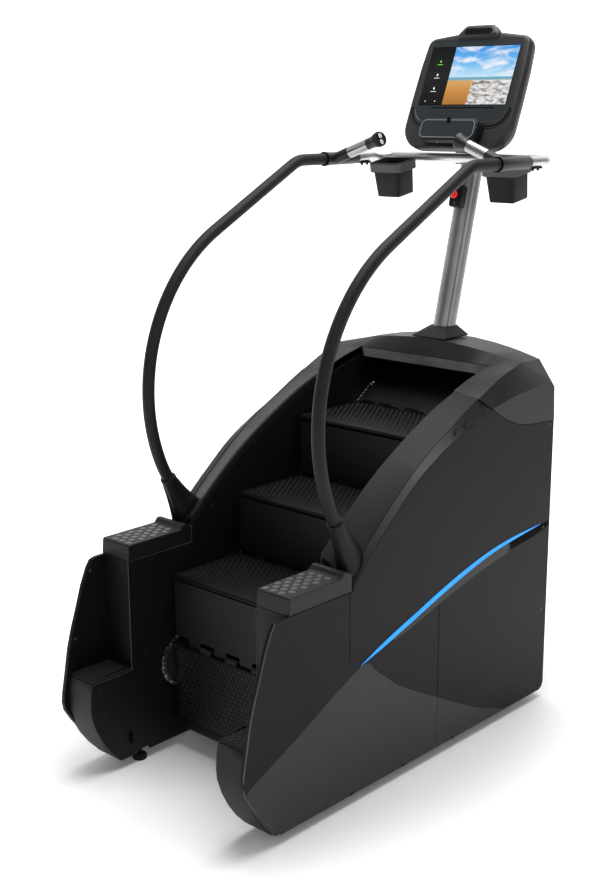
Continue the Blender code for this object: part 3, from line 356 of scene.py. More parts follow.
# The pad's studs are a much lighter copy of its rubber: painted highlight on their tops.
PAD_STUD_LIT = surface("pad_stud", (0.0600, 0.0600, 0.0610), 0.45, grain=0.30, specular=0.50)
RAIL = surface("rail_powder_coat", (0.0115, 0.0115, 0.0117), 0.5, grain=0.25, grain_size=0.0005,
               specular=0.16)
GRIP = surface("grip_plastic", (0.0065, 0.0065, 0.0070), 0.42, grain=0.25, specular=0.35)
METAL = surface("mast_metal", (0.2700, 0.2700, 0.2750), 0.36, metal=0.9, grain=0.12, streak=(1.0, 1.0, 0.06))
BAR = surface("bar_metal", (0.5800, 0.5800, 0.5850), 0.30, metal=0.9, grain=0.12, streak=(0.06, 1.0, 1.0))
CHROME = surface("contact_chrome", (0.3600, 0.3600, 0.3600), 0.24, metal=1.0, mottle=0.03)
STEEL = surface("frame_paint", (0.0150, 0.0150, 0.0160), 0.45, grain=0.30, specular=0.4)
CHAIN = surface("chain_steel", (0.5000, 0.5000, 0.5050), 0.28, metal=1.0, grain_size=0.002, mottle=0.55)
BOLT = surface("black_bolt", (0.0500, 0.0500, 0.0510), 0.35, metal=0.3, grain=0.1)
# The blue accent stripe glows, though it is no lamp: painted light.
BLUE_GLOW = surface("blue_accent_glow", (0.0000, 0.2800, 0.9200), 0.45, mottle=0.03, specular=0.3, emit=0.42)
# The red stop button glows, though it is no lamp: painted light.
RED_GLOW = surface("stop_red", (0.70, 0.010, 0.012), 0.32, mottle=0.05, coat=0.3, emit=0.12)
# White marks that glow: on the display this is the screen's own light; on the grip buttons, which are no
# lamp, it is painted light.
WHITE_GLOW = surface("key_white", (0.70, 0.71, 0.73), 0.45, mottle=0.03, emit=0.30)
RUBBER = surface("black_rubber", (0.0060, 0.0060, 0.0060), 0.75, grain=0.5, specular=0.22)
SLATE = surface("slate_overlay", (0.0110, 0.0150, 0.0180), 0.36, mottle=0.06, specular=0.40)
SHELL = surface("console_shell_plastic", (0.0150, 0.0145, 0.0140), 0.42, grain=0.22, specular=0.40)
SILVER = surface("silver_line", (0.26, 0.29, 0.32), 0.40, metal=0.4, mottle=0.05)
ARCH = surface("arch_cap_moulding", (0.0075, 0.0075, 0.0077), 0.48, grain=0.22, specular=0.18)
RISER = surface("riser_moulding", (0.0052, 0.0052, 0.0055), 0.50, grain=0.28, grain_size=0.0012,
                streak=(1.0, 1.0, 0.08),
                specular=0.26)
BAND = surface("bin_rim_moulding", (0.0480, 0.0480, 0.0485), 0.34, grain=0.20, specular=0.45)
# Light grey lines laid along edges of the inner walls and the pod flanges: painted highlight.
EDGE = surface("edge_highlight_grey", (0.0450, 0.0450, 0.0455), 0.40, grain=0.10, specular=0.45)
# The valance under the brow is made lighter and glows so that it reads lit in the brow's shade: painted
# light.
VALANCE_GLOW = surface("valance_fabric_glow", (0.110, 0.110, 0.112), 0.85, grain=0.9, grain_size=0.0022, mottle=0.35,
                  emit=0.16)


def screen_material():
    """Generic landscape on the display: blue sky with clouds over dunes and a white surf line."""
    made = bpy.data.materials.new("display_picture")
    made.use_nodes = True
    tree = made.node_tree
    shader = tree.nodes["Principled BSDF"]
    new = tree.nodes.new
    place = new("ShaderNodeTexCoord")
    shift = new("ShaderNodeVectorMath")
    shift.operation = "SUBTRACT"
    shift.inputs[1].default_value = Vector((0.0, CONSOLE[0] - Y_MID, CONSOLE[1] + LIFT))
    tree.links.new(place.outputs["Object"], shift.inputs[0])

    def along(direction, reach):
        dot = new("ShaderNodeVectorMath")
        dot.operation = "DOT_PRODUCT"
        dot.inputs[1].default_value = direction
        tree.links.new(shift.outputs["Vector"], dot.inputs[0])
        scaled = new("ShaderNodeMath")
        scaled.operation = "MULTIPLY_ADD"
        scaled.inputs[1].default_value = 0.5 / reach
        scaled.inputs[2].default_value = 0.5
        tree.links.new(dot.outputs["Value"], scaled.inputs[0])
        return scaled.outputs["Value"]

    def math_node(operation, a, b):
        node = new("ShaderNodeMath")
        node.operation = operation
        for i, value in enumerate((a, b)):
            if isinstance(value, (int, float)):
                node.inputs[i].default_value = value
            else:
                tree.links.new(value, node.inputs[i])
        return node.outputs["Value"]

    def ramp(value, stops):
        node = new("ShaderNodeValToRGB")
        elements = node.color_ramp.elements
        while len(elements) < len(stops):
            elements.new(0.5)
        for element, (position, colour) in zip(elements, stops):
            element.position, element.color = position, (*colour, 1.0)
        tree.links.new(value, node.inputs["Fac"])
        return node.outputs["Color"]

    def mix(factor, a, b):
        node = new("ShaderNodeMix")
        node.data_type = "RGBA"
        tree.links.new(factor, node.inputs["Factor"])
        tree.links.new(a, node.inputs["A"])
        tree.links.new(b, node.inputs["B"])
        return node.outputs["Result"]

    u = along((1.0, 0.0, 0.0), SCREEN_HALF)
    v = along((0.0, math.sin(CONSOLE_TILT), math.cos(CONSOLE_TILT)), SCREEN_HIGH)
    noise = new("ShaderNodeTexNoise")
    noise.inputs["Scale"].default_value = 26.0
    noise.inputs["Detail"].default_value = 7.0
    tree.links.new(place.outputs["Object"], noise.inputs["Vector"])
    cloud = noise.outputs["Fac"]

    streaks = new("ShaderNodeTexNoise")
    streaks.inputs["Scale"].default_value = 17.0
    streaks.inputs["Detail"].default_value = 8.0
    streaks.inputs["Distortion"].default_value = 0.6
    flat = new("ShaderNodeMapping")
    flat.inputs["Scale"].default_value = (0.7, 1.0, 2.1)
    flat.inputs["Rotation"].default_value = (0.0, 0.35, 0.0)
    tree.links.new(place.outputs["Object"], flat.inputs["Vector"])
    tree.links.new(flat.outputs["Vector"], streaks.inputs["Vector"])
    wisps = streaks.outputs["Fac"]
    sky = ramp(v, [(0.46, (0.55, 0.78, 0.92)), (0.70, (0.17, 0.50, 0.88)), (1.0, (0.04, 0.30, 0.76))])
    white = ramp(v, [(0.0, (0.80, 0.86, 0.90)), (1.0, (0.85, 0.90, 0.96))])
    cover = ramp(wisps, [(0.46, (0.0, 0.0, 0.0)), (0.66, (0.95, 0.95, 0.95))])
    sky = mix(cover, sky, white)
    sand = ramp(v, [(0.0, (0.42, 0.17, 0.030)), (0.25, (0.60, 0.27, 0.060)), (0.46, (0.72, 0.42, 0.15))])
    wave = math_node("ADD", u, math_node("MULTIPLY", math_node("SUBTRACT", cloud, 0.5), 0.30))
    edge = math_node("ADD", wave, math_node("MULTIPLY", v, -0.10))
    surf = ramp(edge, [(0.520, (0.0, 0.0, 0.0)), (0.545, (1.0, 1.0, 1.0))])
    foam = new("ShaderNodeTexNoise")
    foam.inputs["Scale"].default_value = 62.0
    foam.inputs["Detail"].default_value = 5.0
    tree.links.new(flat.outputs["Vector"], foam.inputs["Vector"])
    sea = ramp(foam.outputs["Fac"], [(0.36, (0.20, 0.15, 0.12)), (0.47, (0.55, 0.53, 0.52)),
                                     (0.58, (0.82, 0.82, 0.83))])
    ground = mix(surf, sand, sea)
    strip = ramp(v, [(0.405, (0.0, 0.0, 0.0)), (0.425, (1.0, 1.0, 1.0))])
    offing = ramp(v, [(0.40, (0.30, 0.45, 0.42)), (0.47, (0.10, 0.38, 0.55))])
    ground = mix(strip, ground, offing)
    above = ramp(v, [(0.466, (0.0, 0.0, 0.0)), (0.474, (1.0, 1.0, 1.0))])
    picture = mix(above, ground, sky)
    menu = ramp(u, [(0.270, (0.0, 0.0, 0.0)), (0.272, (1.0, 1.0, 1.0))])
    dark = ramp(v, [(0.0, (0.001, 0.001, 0.001)), (0.5, (0.010, 0.010, 0.010)),
                    (1.0, (0.001, 0.001, 0.001))])
    picture = mix(menu, dark, picture)
    shader.inputs["Base Color"].default_value = (0.004, 0.004, 0.005, 1.0)
    tree.links.new(picture, shader.inputs["Emission Color"])
    shader.inputs["Emission Strength"].default_value = 1.0
    shader.inputs["Roughness"].default_value = 0.30
    shader.inputs["Specular IOR Level"].default_value = 0.15
    return made


# ---- small parts -----------------------------------------------------------------------------------
def screw(centre, outward, radius=0.0055, proud=0.0016):
    """Low button head with a hexagonal socket."""
    axis, side, up = frame_along(outward)
    start = Vector(centre)
    count = 18
    head = [(-0.0004, radius), (proud * 0.5, radius), (proud, radius * 0.72), (proud, radius * 0.42)]
    rings = [circle(start + axis * along, side, up, r, count) for along, r in head]
    rings.append(circle(start + axis * proud * 0.15, side, up, radius * 0.38, count))
    return loft(rings)


def hole(centre, outward, radius=0.0060):
    """Counterbored screw hole: a thin raised ring round a dark sunken cap."""
    return lathe(Vector(centre) - Vector(outward).normalized() * 0.0006, outward,
                 [(0.0, radius), (0.0010, radius), (0.0013, radius * 0.92), (0.0009, radius * 0.80),
                  (0.0006, radius * 0.10)], 24)


def stud_field(x0, x1, y0, y1, z, radius, pitch, high, sides=8, keep=lambda x, y: True):
    """Staggered rows of low studs on a level surface."""
    bm = bmesh.new()
    row_step = pitch * 0.80
    rows = int((y1 - y0) / row_step)
    for r in range(rows + 1):
        y = y0 + r * row_step
        x = x0 + (pitch / 2 if r % 2 else 0.0)
        while x <= x1 + 1e-6:
            if keep(x, y):
                turn = [2 * math.pi * (i + 0.5) / sides for i in range(sides)]
                low = [bm.verts.new((x + radius * math.cos(a), y + radius * math.sin(a), z)) for a in turn]
                top = [bm.verts.new((x + radius * 0.80 * math.cos(a), y + radius * 0.80 * math.sin(a),
                                     z + high))
                       for a in turn]
                for i in range(sides):
                    j = (i + 1) % sides
                    bm.faces.new((low[i], low[j], top[j], top[i]))
                bm.faces.new(top)
            x += pitch
    return bm


# ---- the staircase ---------------------------------------------------------------------------------
def hinge(step):
    return HINGE_Y + RUN * (step - 1), HINGE_Z + RISE * (step - 1)


def tread_pieces(at, cut):
    """Deck with a rolled nose, hinge tabs and a field of studs; cut chamfers its front corners."""
    y0, z0 = at
    rear, front = y0 - 0.0055, y0 - RUN - NOSE_OUT
    low, top = z0 + TREAD_TOP - TREAD_THICK, z0 + TREAD_TOP
    nose = arc(front + 0.009, (low + top) / 2, 0.009, 270, 90, 12)
    profile = [(rear, low)] + nose + [(front + 0.026, top), (front + 0.0275, top - 0.0014),
                                      (rear, top - 0.0014)]
    rings = []
    for x, back in ((-STEP_HALF, cut), (-STEP_HALF + cut, 0.0), (STEP_HALF - cut, 0.0), (STEP_HALF, cut)):
        rings.append([(x, y + back if y < rear else y, z) for y, z in profile])
    tabs = [box(max(x - TAB_WIDE / 2, -STEP_HALF), min(x + TAB_WIDE / 2, STEP_HALF), rear - 0.002,
                y0 - 0.001,
                low + 0.002, top - 0.003) for x in TAB_X]
    studs = stud_field(-STEP_HALF + 0.019, STEP_HALF - 0.014, front + 0.038 + cut * 0.4, rear - 0.008,
                       top - 0.0014,
                       0.0062, 0.0190, 0.0016, 12)
    return merge(loft(rings), *tabs), studs


def knuckles(at, radius=0.0092):
    """Rolled hinge knuckles on the middle tabs at a step's rear hinge line."""
    y0, z0 = at
    parts = []
    for x in TAB_X[1:-1]:
        half = TAB_WIDE / 2 - 0.001
        parts.append(lathe((x - half, y0, z0 + 0.0045), (1, 0, 0),
                           [(0.0, radius - 0.0012), (0.0012, radius), (2 * half - 0.0012, radius),
                            (2 * half, radius - 0.0012)], 28))
    return merge(*parts)


def riser_frame(at, high):
    """Shallow raised border round a riser's face."""
    y0, z0 = at
    face = y0 - 0.0031
    outer = rounded_rect(-STEP_HALF + 0.010, STEP_HALF - 0.010, z0 + 0.034, z0 + high - 0.016, 0.012)
    inner = rounded_rect(-STEP_HALF + 0.014, STEP_HALF - 0.014, z0 + 0.038, z0 + high - 0.020, 0.009)
    rings = [[(x, face + depth, z) for x, z in ring]
             for ring, depth in ((outer, 0.001), (outer, -0.0006), (inner, -0.0006), (inner, 0.001))]
    return loft(rings, closed=True)


def slot_shade_strips(at, lean=0.0):
    """Near-black strips in the slots between the knuckles at the foot of a riser: painted shade in the
    slots.
    """
    y0, z0 = at
    mouths = [box(x - 0.028, x + 0.028, y0 - 0.0040, y0 - 0.0031, z0 + TREAD_TOP, z0 + TREAD_TOP + 0.0105)
              for x in (-0.212, -0.144, -0.028, 0.088, 0.204)]
    return turned(merge(*mouths), lean, at)


def build_steps():
    for k in (1, 2, 3):
        deck, studs = tread_pieces(hinge(k + 1), 0.004)
        add(f"tread_deck_{k}", deck, TREAD, "stairs", 40.0, replaces=(f"tread_{k}",))
        add(f"tread_studs_{k}", studs, TREAD_STUD_LIT, "stairs", 20.0)
        refine(f"riser_{k}", RISER, 0.0008, 1)
        add(f"riser_border_{k}", riser_frame(hinge(k), RISE), RISER, "stairs", 30.0)

    pivot = hinge(1)
    deck, studs = tread_pieces(pivot, 0.024)
    add("lower_tread_deck", turned(deck, HANG, pivot), TREAD, "lower_step", 40.0,
        replaces=("lower_tread",))
    add("lower_tread_studs", turned(studs, HANG, pivot), TREAD_STUD_LIT, "lower_step", 20.0)
    add("lower_knuckles", turned(knuckles(pivot, 0.0088), HANG, pivot), FACET, "lower_step", 40.0)
    refine("lower_riser", BLACK, 0.0008, 1)
    refine("upper_step", BLACK, 0.0010, 1)
    add("upper_slot_mouths", slot_shade_strips(hinge(4), -math.radians(55.0)), BLACK_AND_SHADE, "upper_step")
    refine("return_steps", BLACK, 0.0010, 1)


# ---- chain drive -----------------------------------------------------------------------------------
def lower_sprocket():
    y, z = hinge(1)
    return y - LOWER_ALONG * DY + CHAIN_R * DZ, z - LOWER_ALONG * DZ - CHAIN_R * DY


def chain_point(along):
    """Point and heading (radians) on the chain's pitch line, from where it leaves the lower sprocket."""
    y, z = lower_sprocket()
    half_turn = math.pi * CHAIN_R
    span = (STEP_COUNT * SLOPE - 2 * half_turn) / 2
    climb = math.atan2(DZ, DY)
    along %= 2 * (span + half_turn)
    if along < span:
        return (y - CHAIN_R * DZ + along * DY, z + CHAIN_R * DY + along * DZ), climb
    if along < span + half_turn:
        turn = (along - span) / CHAIN_R
        a = climb + math.pi / 2 - turn
        return ((y + span * DY + CHAIN_R * math.cos(a), z + span * DZ + CHAIN_R * math.sin(a)),
                climb - turn)
    if along < 2 * span + half_turn:
        back = along - span - half_turn
        return ((y + (span - back) * DY + CHAIN_R * DZ, z + (span - back) * DZ - CHAIN_R * DY),
                climb + math.pi)
    turn = (along - 2 * span - half_turn) / CHAIN_R
    a = climb - math.pi / 2 - turn
    return (y + CHAIN_R * math.cos(a), z + CHAIN_R * math.sin(a)), climb + math.pi - turn


def chain_links(side):
    """Roller chain: alternating inner and outer figure-eight plates on rollers."""
    count = 176
    length = STEP_COUNT * SLOPE
    pitch = length / count
    parts = []
    low_x, high_x = CHAIN_X
    for i in range(count):
        (y0, z0), _ = chain_point(i * pitch)
        (y1, z1), _ = chain_point((i + 1) * pitch)
        heading = math.atan2(z1 - z0, y1 - y0)
        gap = math.hypot(z1 - z0, y1 - y0)
        wide = 0.0052
        outline = []
        for cx, start in ((gap, -90), (0.0, 90)):
            outline += arc(cx, 0.0, wide, start, start + 180, 5)
        cos, sin = math.cos(heading), math.sin(heading)
        ring = [(y0 + a * cos - b * sin, z0 + a * sin + b * cos) for a, b in outline]
        inner = 0.0016 if i % 2 else 0.0
        parts.append(prism(ring, low_x + inner, low_x + inner + 0.0014))
        parts.append(prism(ring, high_x - inner - 0.0014, high_x - inner))
        parts.append(lathe((low_x + 0.0005, y0, z0), (1, 0, 0),
                           [(0.0, 0.0040), (high_x - low_x - 0.001, 0.0040)], 8))
    return mirrored(merge(*parts), side)


def build_drive():
    for name, side in SIDES:
        add(f"{name}_roller_chain", chain_links(side), CHAIN, "base", 30.0, replaces=(f"{name}_chain",))
        for level in ("lower", "upper"):
            refine(f"{level}_{name}_sprocket", STEEL, 0.0006, 1)
    refine("drive_belt", RUBBER, 0.0004, 1)
    refine("brake_rotor", STEEL, 0.0006, 1)
    refine("brake_housing", BLACK, 0.0010)
    refine("base_frame", STEEL, 0.0012)


# ---- pods ------------------------------------------------------------------------------------------


def between(top, low, y0, y1, count=24):
    ys = spread(y0, y1, count)
    return [(y, spline(low, y)) for y in ys] + [(y, spline(top, y)) for y in reversed(ys)]


def build_side_details():
    """Facet, accent stripe, bevel strip, recess and seams on a pod's outer face."""
    for name, side in SIDES:
        def plate(label, outline, out, look, bevel=0.0004):
            add(f"{name}_{label}", mirrored(prism(outline, SIDE_X - 0.0006, SIDE_X + out), side), look,
                bevel=bevel, segments=1)

        lower = [(-0.0345, 0.0078), (-0.0735, 0.0465), (-0.1112, 0.0914)] + list(FACET_TOP + FACET_BACK)
        plate("lower_facet", lower, 0.0005, FACET)
        stripe = between(STRIPE_TOP, STRIPE_LOW, 0.300, 1.2145, 40)
        plate("blue_stripe", stripe, 0.0008, BLUE_GLOW, 0.0)
        plate("stripe_band", between(STRIPE_LOW, BAND_LOW, 0.436, 1.030, 30), 0.0006, FACET)
        # The stripe recess is a flat near-black plate: painted shade in the recess.
        recess = [(1.046, 0.5655), (1.181, 0.5800), (1.244, 0.5930), (1.262, 0.6000), (1.262, 0.6120),
                  (1.217, 0.6118),
                  (1.095, 0.5990), (1.038, 0.5925)]
        plate("stripe_recess", recess, 0.0003, BLACK_AND_SHADE, 0.0)
        # Near-black plates at the panel's lower notches: painted shade in the notches.
        notches = [rounded_rect(y - 0.006, y + 0.006, 0.0070, 0.0150, 0.0030, 4) for y in (0.260, 0.499,
                                                                                           0.751)]
        add(f"{name}_lower_notches", mirrored(merge(*[prism(shape, SIDE_X - 0.0006, SIDE_X + 0.0007)
                                                      for shape in notches]), side), BLACK_AND_SHADE)
        for label, y, z0, z1 in (("front_seam", 0.249, 0.415, 0.636), ("rear_seam", 0.666, 0.010, 0.488)):
            plate(label, [(y, z0), (y + 0.0012, z0), (y + 0.0012, z1), (y, z1)], 0.0006, BLACK_AND_SHADE, 0.0)
        holes = [hole((SIDE_X + 0.0002, y, z), (1, 0, 0), 0.0038) for y,
                 z in ((1.245, 0.945), (1.231, 0.5975), (1.240, 0.3050))]
        add(f"{name}_side_holes", mirrored(merge(*holes), side), BOLT)


def build_wall_details():
    spots = ((0.093, 0.618), (0.225, 0.520), (0.352, 0.735), (0.545, 0.905), (-0.120, 0.255),
             (-0.118, 0.170),
             (0.060, 0.330))
    for name, side in SIDES:
        refine(f"{name}_inner_wall", BLACK, 0.0014, 2)
        holes = [hole((WALL_X - 0.0002, y, z), (-1, 0, 0), 0.0062) for y, z in spots]
        add(f"{name}_wall_screws", mirrored(merge(*holes), side), BOLT)
        caps = [screw((WALL_X - 0.0010, y, z), (-1, 0, 0), 0.0046, 0.0008) for y, z in spots]
        add(f"{name}_wall_screw_caps", mirrored(merge(*caps), side), BLACK_AND_SHADE)
        # A near-black plate fills the wall's slot: painted shade in the slot.
        slot = rounded_rect(-0.022, -0.008, 0.050, 0.092, 0.0069)
        ring = [(y, z) for y, z in slot]
        rings = [[(x, y, z) for y, z in ring] for x in (WALL_X - 0.0010, WALL_X + 0.001)]
        add(f"{name}_wall_slot", mirrored(loft(rings), side), BLACK_AND_SHADE)
        # A thin light line along the inner wall's edges: painted highlight.
        rim = [(WALL_X + 0.0006, y, z) for y, z in ((-0.1500, STEP_RIM), (-0.0005, STEP_RIM),
                                                    (-0.0005, PAD_LOW - 0.0012),
                                                    (0.2585, PAD_LOW - 0.0012), (0.2585, 0.6900))]
        add(f"{name}_wall_highlight_line", mirrored(tube(rim, 0.0011, 8), side), EDGE)
        # A thin light line along the front edge of the pod's flange: painted highlight.
        front = [(SIDE_X - 0.0022, y + 0.0010, z) for y, z in FRONT_EDGE]
        add(f"{name}_flange_highlight_line", mirrored(tube(front, 0.0020, 10), side), EDGE, smooth=50.0)
        hem = ((-0.0400, 0.0100), (-0.0535, 0.0078), (-0.0890, 0.0450), (-0.1190, 0.0870), (-0.1460, 0.1370),
               (-0.1715, 0.1800), (-0.1700, 0.1810), (-0.1090, 0.0900), (-0.0700, 0.0460))
        plate = prism([(y, z) for y, z in hem], SIDE_X - 0.0150, SIDE_X - 0.0030)
        add(f"{name}_pod_hem", mirrored(plate, side), FACET, smooth=50.0, bevel=0.0006)
        flange = [hole((0.3778, y, z), (-1, 0, 0), 0.0050) for y, z in ((-0.060, 0.600), (-0.128, 0.400))]
        add(f"{name}_flange_screws", mirrored(merge(*flange), side), BOLT)


def build_pads():
    for name, side in SIDES:
        y0, y1 = 0.0, PAD_BACK
        x0, x1 = WALL_X, SIDE_X
        # Side view of the pad: level top, then a rib that rises to meet the arch cap.
        profile = [(y0, PAD_LOW), (y0 + 0.004, PAD_TOP - 0.004), (y0 + 0.008, PAD_TOP), (0.205, PAD_TOP),
                   (0.213, PAD_TOP + 0.002),
                   (0.222, PAD_TOP + 0.013), (0.230, PAD_TOP + 0.015), (0.240, PAD_TOP + 0.013),
                   (0.247, PAD_TOP + 0.006),
                   (y1, PAD_TOP + 0.004), (y1, PAD_LOW)]
        pad = prism(profile, x0, x1)
        add(f"{name}_pad_body", mirrored(pad, side), PAD, bevel=0.0035, segments=3,
            replaces=(f"{name}_landing_pad",))
        studs = stud_field(x0 + 0.018, x1 - 0.015, y0 + 0.020, 0.200, PAD_TOP - 0.0002, 0.0112, 0.0300,
                           0.0028, 16)
        # Light studs: painted highlight on the tops of the pad's rubber studs.
        add(f"{name}_pad_studs", mirrored(studs, side), PAD_STUD_LIT, smooth=20.0)

        refine(f"{name}_foot_tray", RUBBER, 0.0010)
        top = STEP_RIM + 0.0100
        # The tray's studs take the lighter facet grey, a lit copy of the tray rubber: painted highlight on
        # their tops.
        grid = stud_field(x0 + 0.014, 0.368, -0.135, -0.014, top - 0.0002, 0.0056, 0.0190, 0.0016, 10)
        add(f"{name}_tray_studs", mirrored(grid, side), FACET)
        lip = rounded_rect(x0 + 0.004, 0.3745, -0.146, -0.004, 0.010)
        inner = rounded_rect(x0 + 0.0062, 0.3723, -0.1438, -0.0062, 0.008)
        rings = []
        for shape, lift in ((lip, 0.0), (lip, 1.0), (inner, 1.0), (inner, 0.0)):
            rings.append([(x, y, top - 0.001 + lift * max(0.0018, 0.0105 * (y + 0.146) / 0.142)) for x,
                          y in shape])
        add(f"{name}_tray_lip", mirrored(loft(rings, closed=True), side), BLACK, smooth=50.0)


def build_covers():
    for name, side in SIDES:
        refine(f"{name}_side_panel", CHARCOAL, 0.0016, 2, 20.0)
        stations = []
        for y in spread(0.2625, 0.8792, 60):
            top, low = spline(INNER_EDGE, y), spline(SEAM_EDGE, y)
            stations.append([(WALL_X, y, top - 0.030), (WALL_X, y, top - 0.0080),
                             (WALL_X + 0.0012, y, top - 0.0040),
                             (CAP_X - 0.0020, y, top - 0.0008), (CAP_X + 0.0004, y, top - 0.0002),
                             (CAP_X + 0.0040, y, top - 0.0022), (SEAM_X - 0.0016, y, low + 0.0006),
                             (SEAM_X, y, low - 0.0012), (SEAM_X, y, low - 0.007),
                             (CAP_X + 0.001, y, top - 0.012),
                             (WALL_X + 0.004, y, top - 0.030)])
        add(f"{name}_arch_cap_shell", mirrored(loft(stations), side), ARCH, smooth=24.0,
            replaces=(f"{name}_arch_cap",))
        # Ridge between the side face and the arch cap, in a lighter grey that is painted highlight, the dark
        # seam line beside the cap, and the gusset that closes the corner where the hood takes over.
        ys = spread(0.266, 0.874, 30)
        ridge = []
        for y in ys:
            seam, crease = spline(SEAM_EDGE, y), spline(CREASE_EDGE, y)
            ridge.append([(SEAM_X + 0.0014, y, seam + 0.0010), (SIDE_X - 0.0012, y, crease + 0.0014),
                          (SIDE_X - 0.0012, y, crease - 0.0016), (SEAM_X + 0.0014, y, seam - 0.0036)])
        add(f"{name}_ridge_face", mirrored(loft(ridge), side), RIDGE, smooth=30.0)
        line = [(SEAM_X + 0.0004, y, spline(SEAM_EDGE, y) - 0.0002) for y in spread(0.262, 0.880, 40)]
        add(f"{name}_cap_seam", mirrored(tube(line, 0.0013, 8), side), BLACK_AND_SHADE)
        gusset = []
        for y in spread(0.868, 0.926, 6):
            seam = spline(SEAM_EDGE, min(y, 0.880)) - 0.0012 * (1 if y < 0.88 else 3)
            low = min(spline(CREASE_EDGE, y), spline(HOOD_EDGE, max(y, 0.880)) + 0.002) - 0.0020
            gusset.append([(SEAM_X - 0.006, y, seam - 0.002), (SIDE_X - 0.0014, y, low),
                           (SIDE_X - 0.0014, y, low - 0.010), (SEAM_X - 0.006, y, seam - 0.012)])
        add(f"{name}_hood_gusset", mirrored(loft(gusset), side), CAP, smooth=30.0)
    refine("hood", CAP, 0.0012, 2, 26.0)
    refine("rear_cover", CHARCOAL, 0.0016)
    refine("power_inlet", BLACK, 0.0008)
    refine("mast_boot", BLACK, 0.0012)
    # The rear vents are near-black slots: painted shade in the openings.
    vents = []
    for row in range(7):
        z = 0.180 + 0.014 * row
        ring = rounded_rect(-0.090, 0.090, z, z + 0.006, 0.0029)
        vents.append(loft([[(x, y, v) for x, v in ring] for y in (REAR_Y + 0.0050, REAR_Y + 0.0062)]))
    add("rear_vents", merge(*vents), BLACK_AND_SHADE)
    bolts = [screw((x, REAR_Y + 0.0056, z), (0, 1, 0)) for x in (-0.370, 0.370) for z in (0.06, 0.35, 0.64,
                                                                                          0.92)]
    add("rear_screws", merge(*bolts), BOLT)
    # The valance glows: painted light under the brow.
    flap = [(x, OPEN_Y + k * 0.010 - 0.0012, OPEN_Z - k * 0.036) for x, k in ((-0.262, 0.96), (0.262, 0.96),
                                                                             (0.262, 0.06), (-0.262, 0.06))]
    add("valance", loft([flap, [(x, y - 0.0005, z) for x, y, z in flap]]), VALANCE_GLOW)


# ---- mast, handrails and crossbar ------------------------------------------------------------------
def mast_point(along):
    return Vector((0.0, MAST_FOOT[0] + along * math.sin(MAST_LEAN),
                   MAST_FOOT[1] + along * math.cos(MAST_LEAN)))


def rail_path(count=70):
    arc_y, arc_z, bend = 0.717, 1.100, 0.550
    points = [(0.2985, 0.7190)]
    points += [(arc_y - bend * math.cos(math.radians(a)), arc_z + bend * math.sin(math.radians(a)))
               for a in spread(-25.0, 62.0, count)]
    climb = math.radians(28.0)
    fillet, corner = 0.12, (0.837, ARM_Z)
    back = fillet * math.tan(climb / 2)
    points.append((corner[0] - back * math.cos(climb) - 0.10,
                   corner[1] - back * math.sin(climb) - 0.10 * math.tan(climb)))
    points += arc(corner[0] + back, ARM_Z - fillet, fillet, 90 + math.degrees(climb), 90, 12)
    points.append((0.9617, ARM_Z))
    return points


def cover_top(x, y):
    """Height of the covers under a point beside the staircase."""
    if y < 0.262:
        return PAD_TOP
    inner, seam, crease = spline(INNER_EDGE, y), spline(SEAM_EDGE, y), spline(CREASE_EDGE, y)
    if x <= SEAM_X:
        return inner + (seam - inner) * max(x - WALL_X - 0.006, 0.0) / (SEAM_X - WALL_X - 0.006)
    return seam + (crease - seam) * (x - SEAM_X) / (SIDE_X - SEAM_X)


def boot(path):
    """Cone from a rolled collar on the rail down to a hem that follows the covers."""
    (y0, z0), (y1, z1) = path[0], path[1]
    lean = Vector((0.0, y1 - y0, z1 - z0)).normalized()
    side, up = Vector((1.0, 0.0, 0.0)), lean.cross(Vector((1.0, 0.0, 0.0)))
    count = 48
    turns = [2 * math.pi * i / count for i in range(count)]

    def ring(along, radius):
        centre = Vector((RAIL_X, y0, z0)) + lean * along
        return [centre + side * radius * math.cos(a) + up * radius * math.sin(a) for a in turns]

    hem, skirt = [], []
    for a in turns:
        x, y = RAIL_X - 0.0030 + 0.0385 * math.cos(a), 0.3000 + 0.0390 * math.sin(a)
        z = cover_top(x, y)
        hem.append(Vector((x, y, z + 0.0031)))
        skirt.append(Vector((x, y, z + 0.0075)))
    top, low = ring(0.132, 0.0235), skirt
    rings = [hem, skirt]
    for k in (0.10, 0.25, 0.45, 0.65, 0.85):
        rings.append([a.lerp(b, k) - (a.lerp(b, k) - Vector((RAIL_X,
                                                             *(Vector((y0, z0)) + Vector((lean.y, lean.z))
                      * 0.132 * k)))) * 0.10 * math.sin(math.pi * k) for a, b in zip(low, top)])
    rings += [ring(0.1250, 0.0236), ring(0.1262, 0.0252), ring(0.1335, 0.0250), ring(0.1350, 0.0238),
              ring(0.1350, 0.0194)]
    return loft(rings)


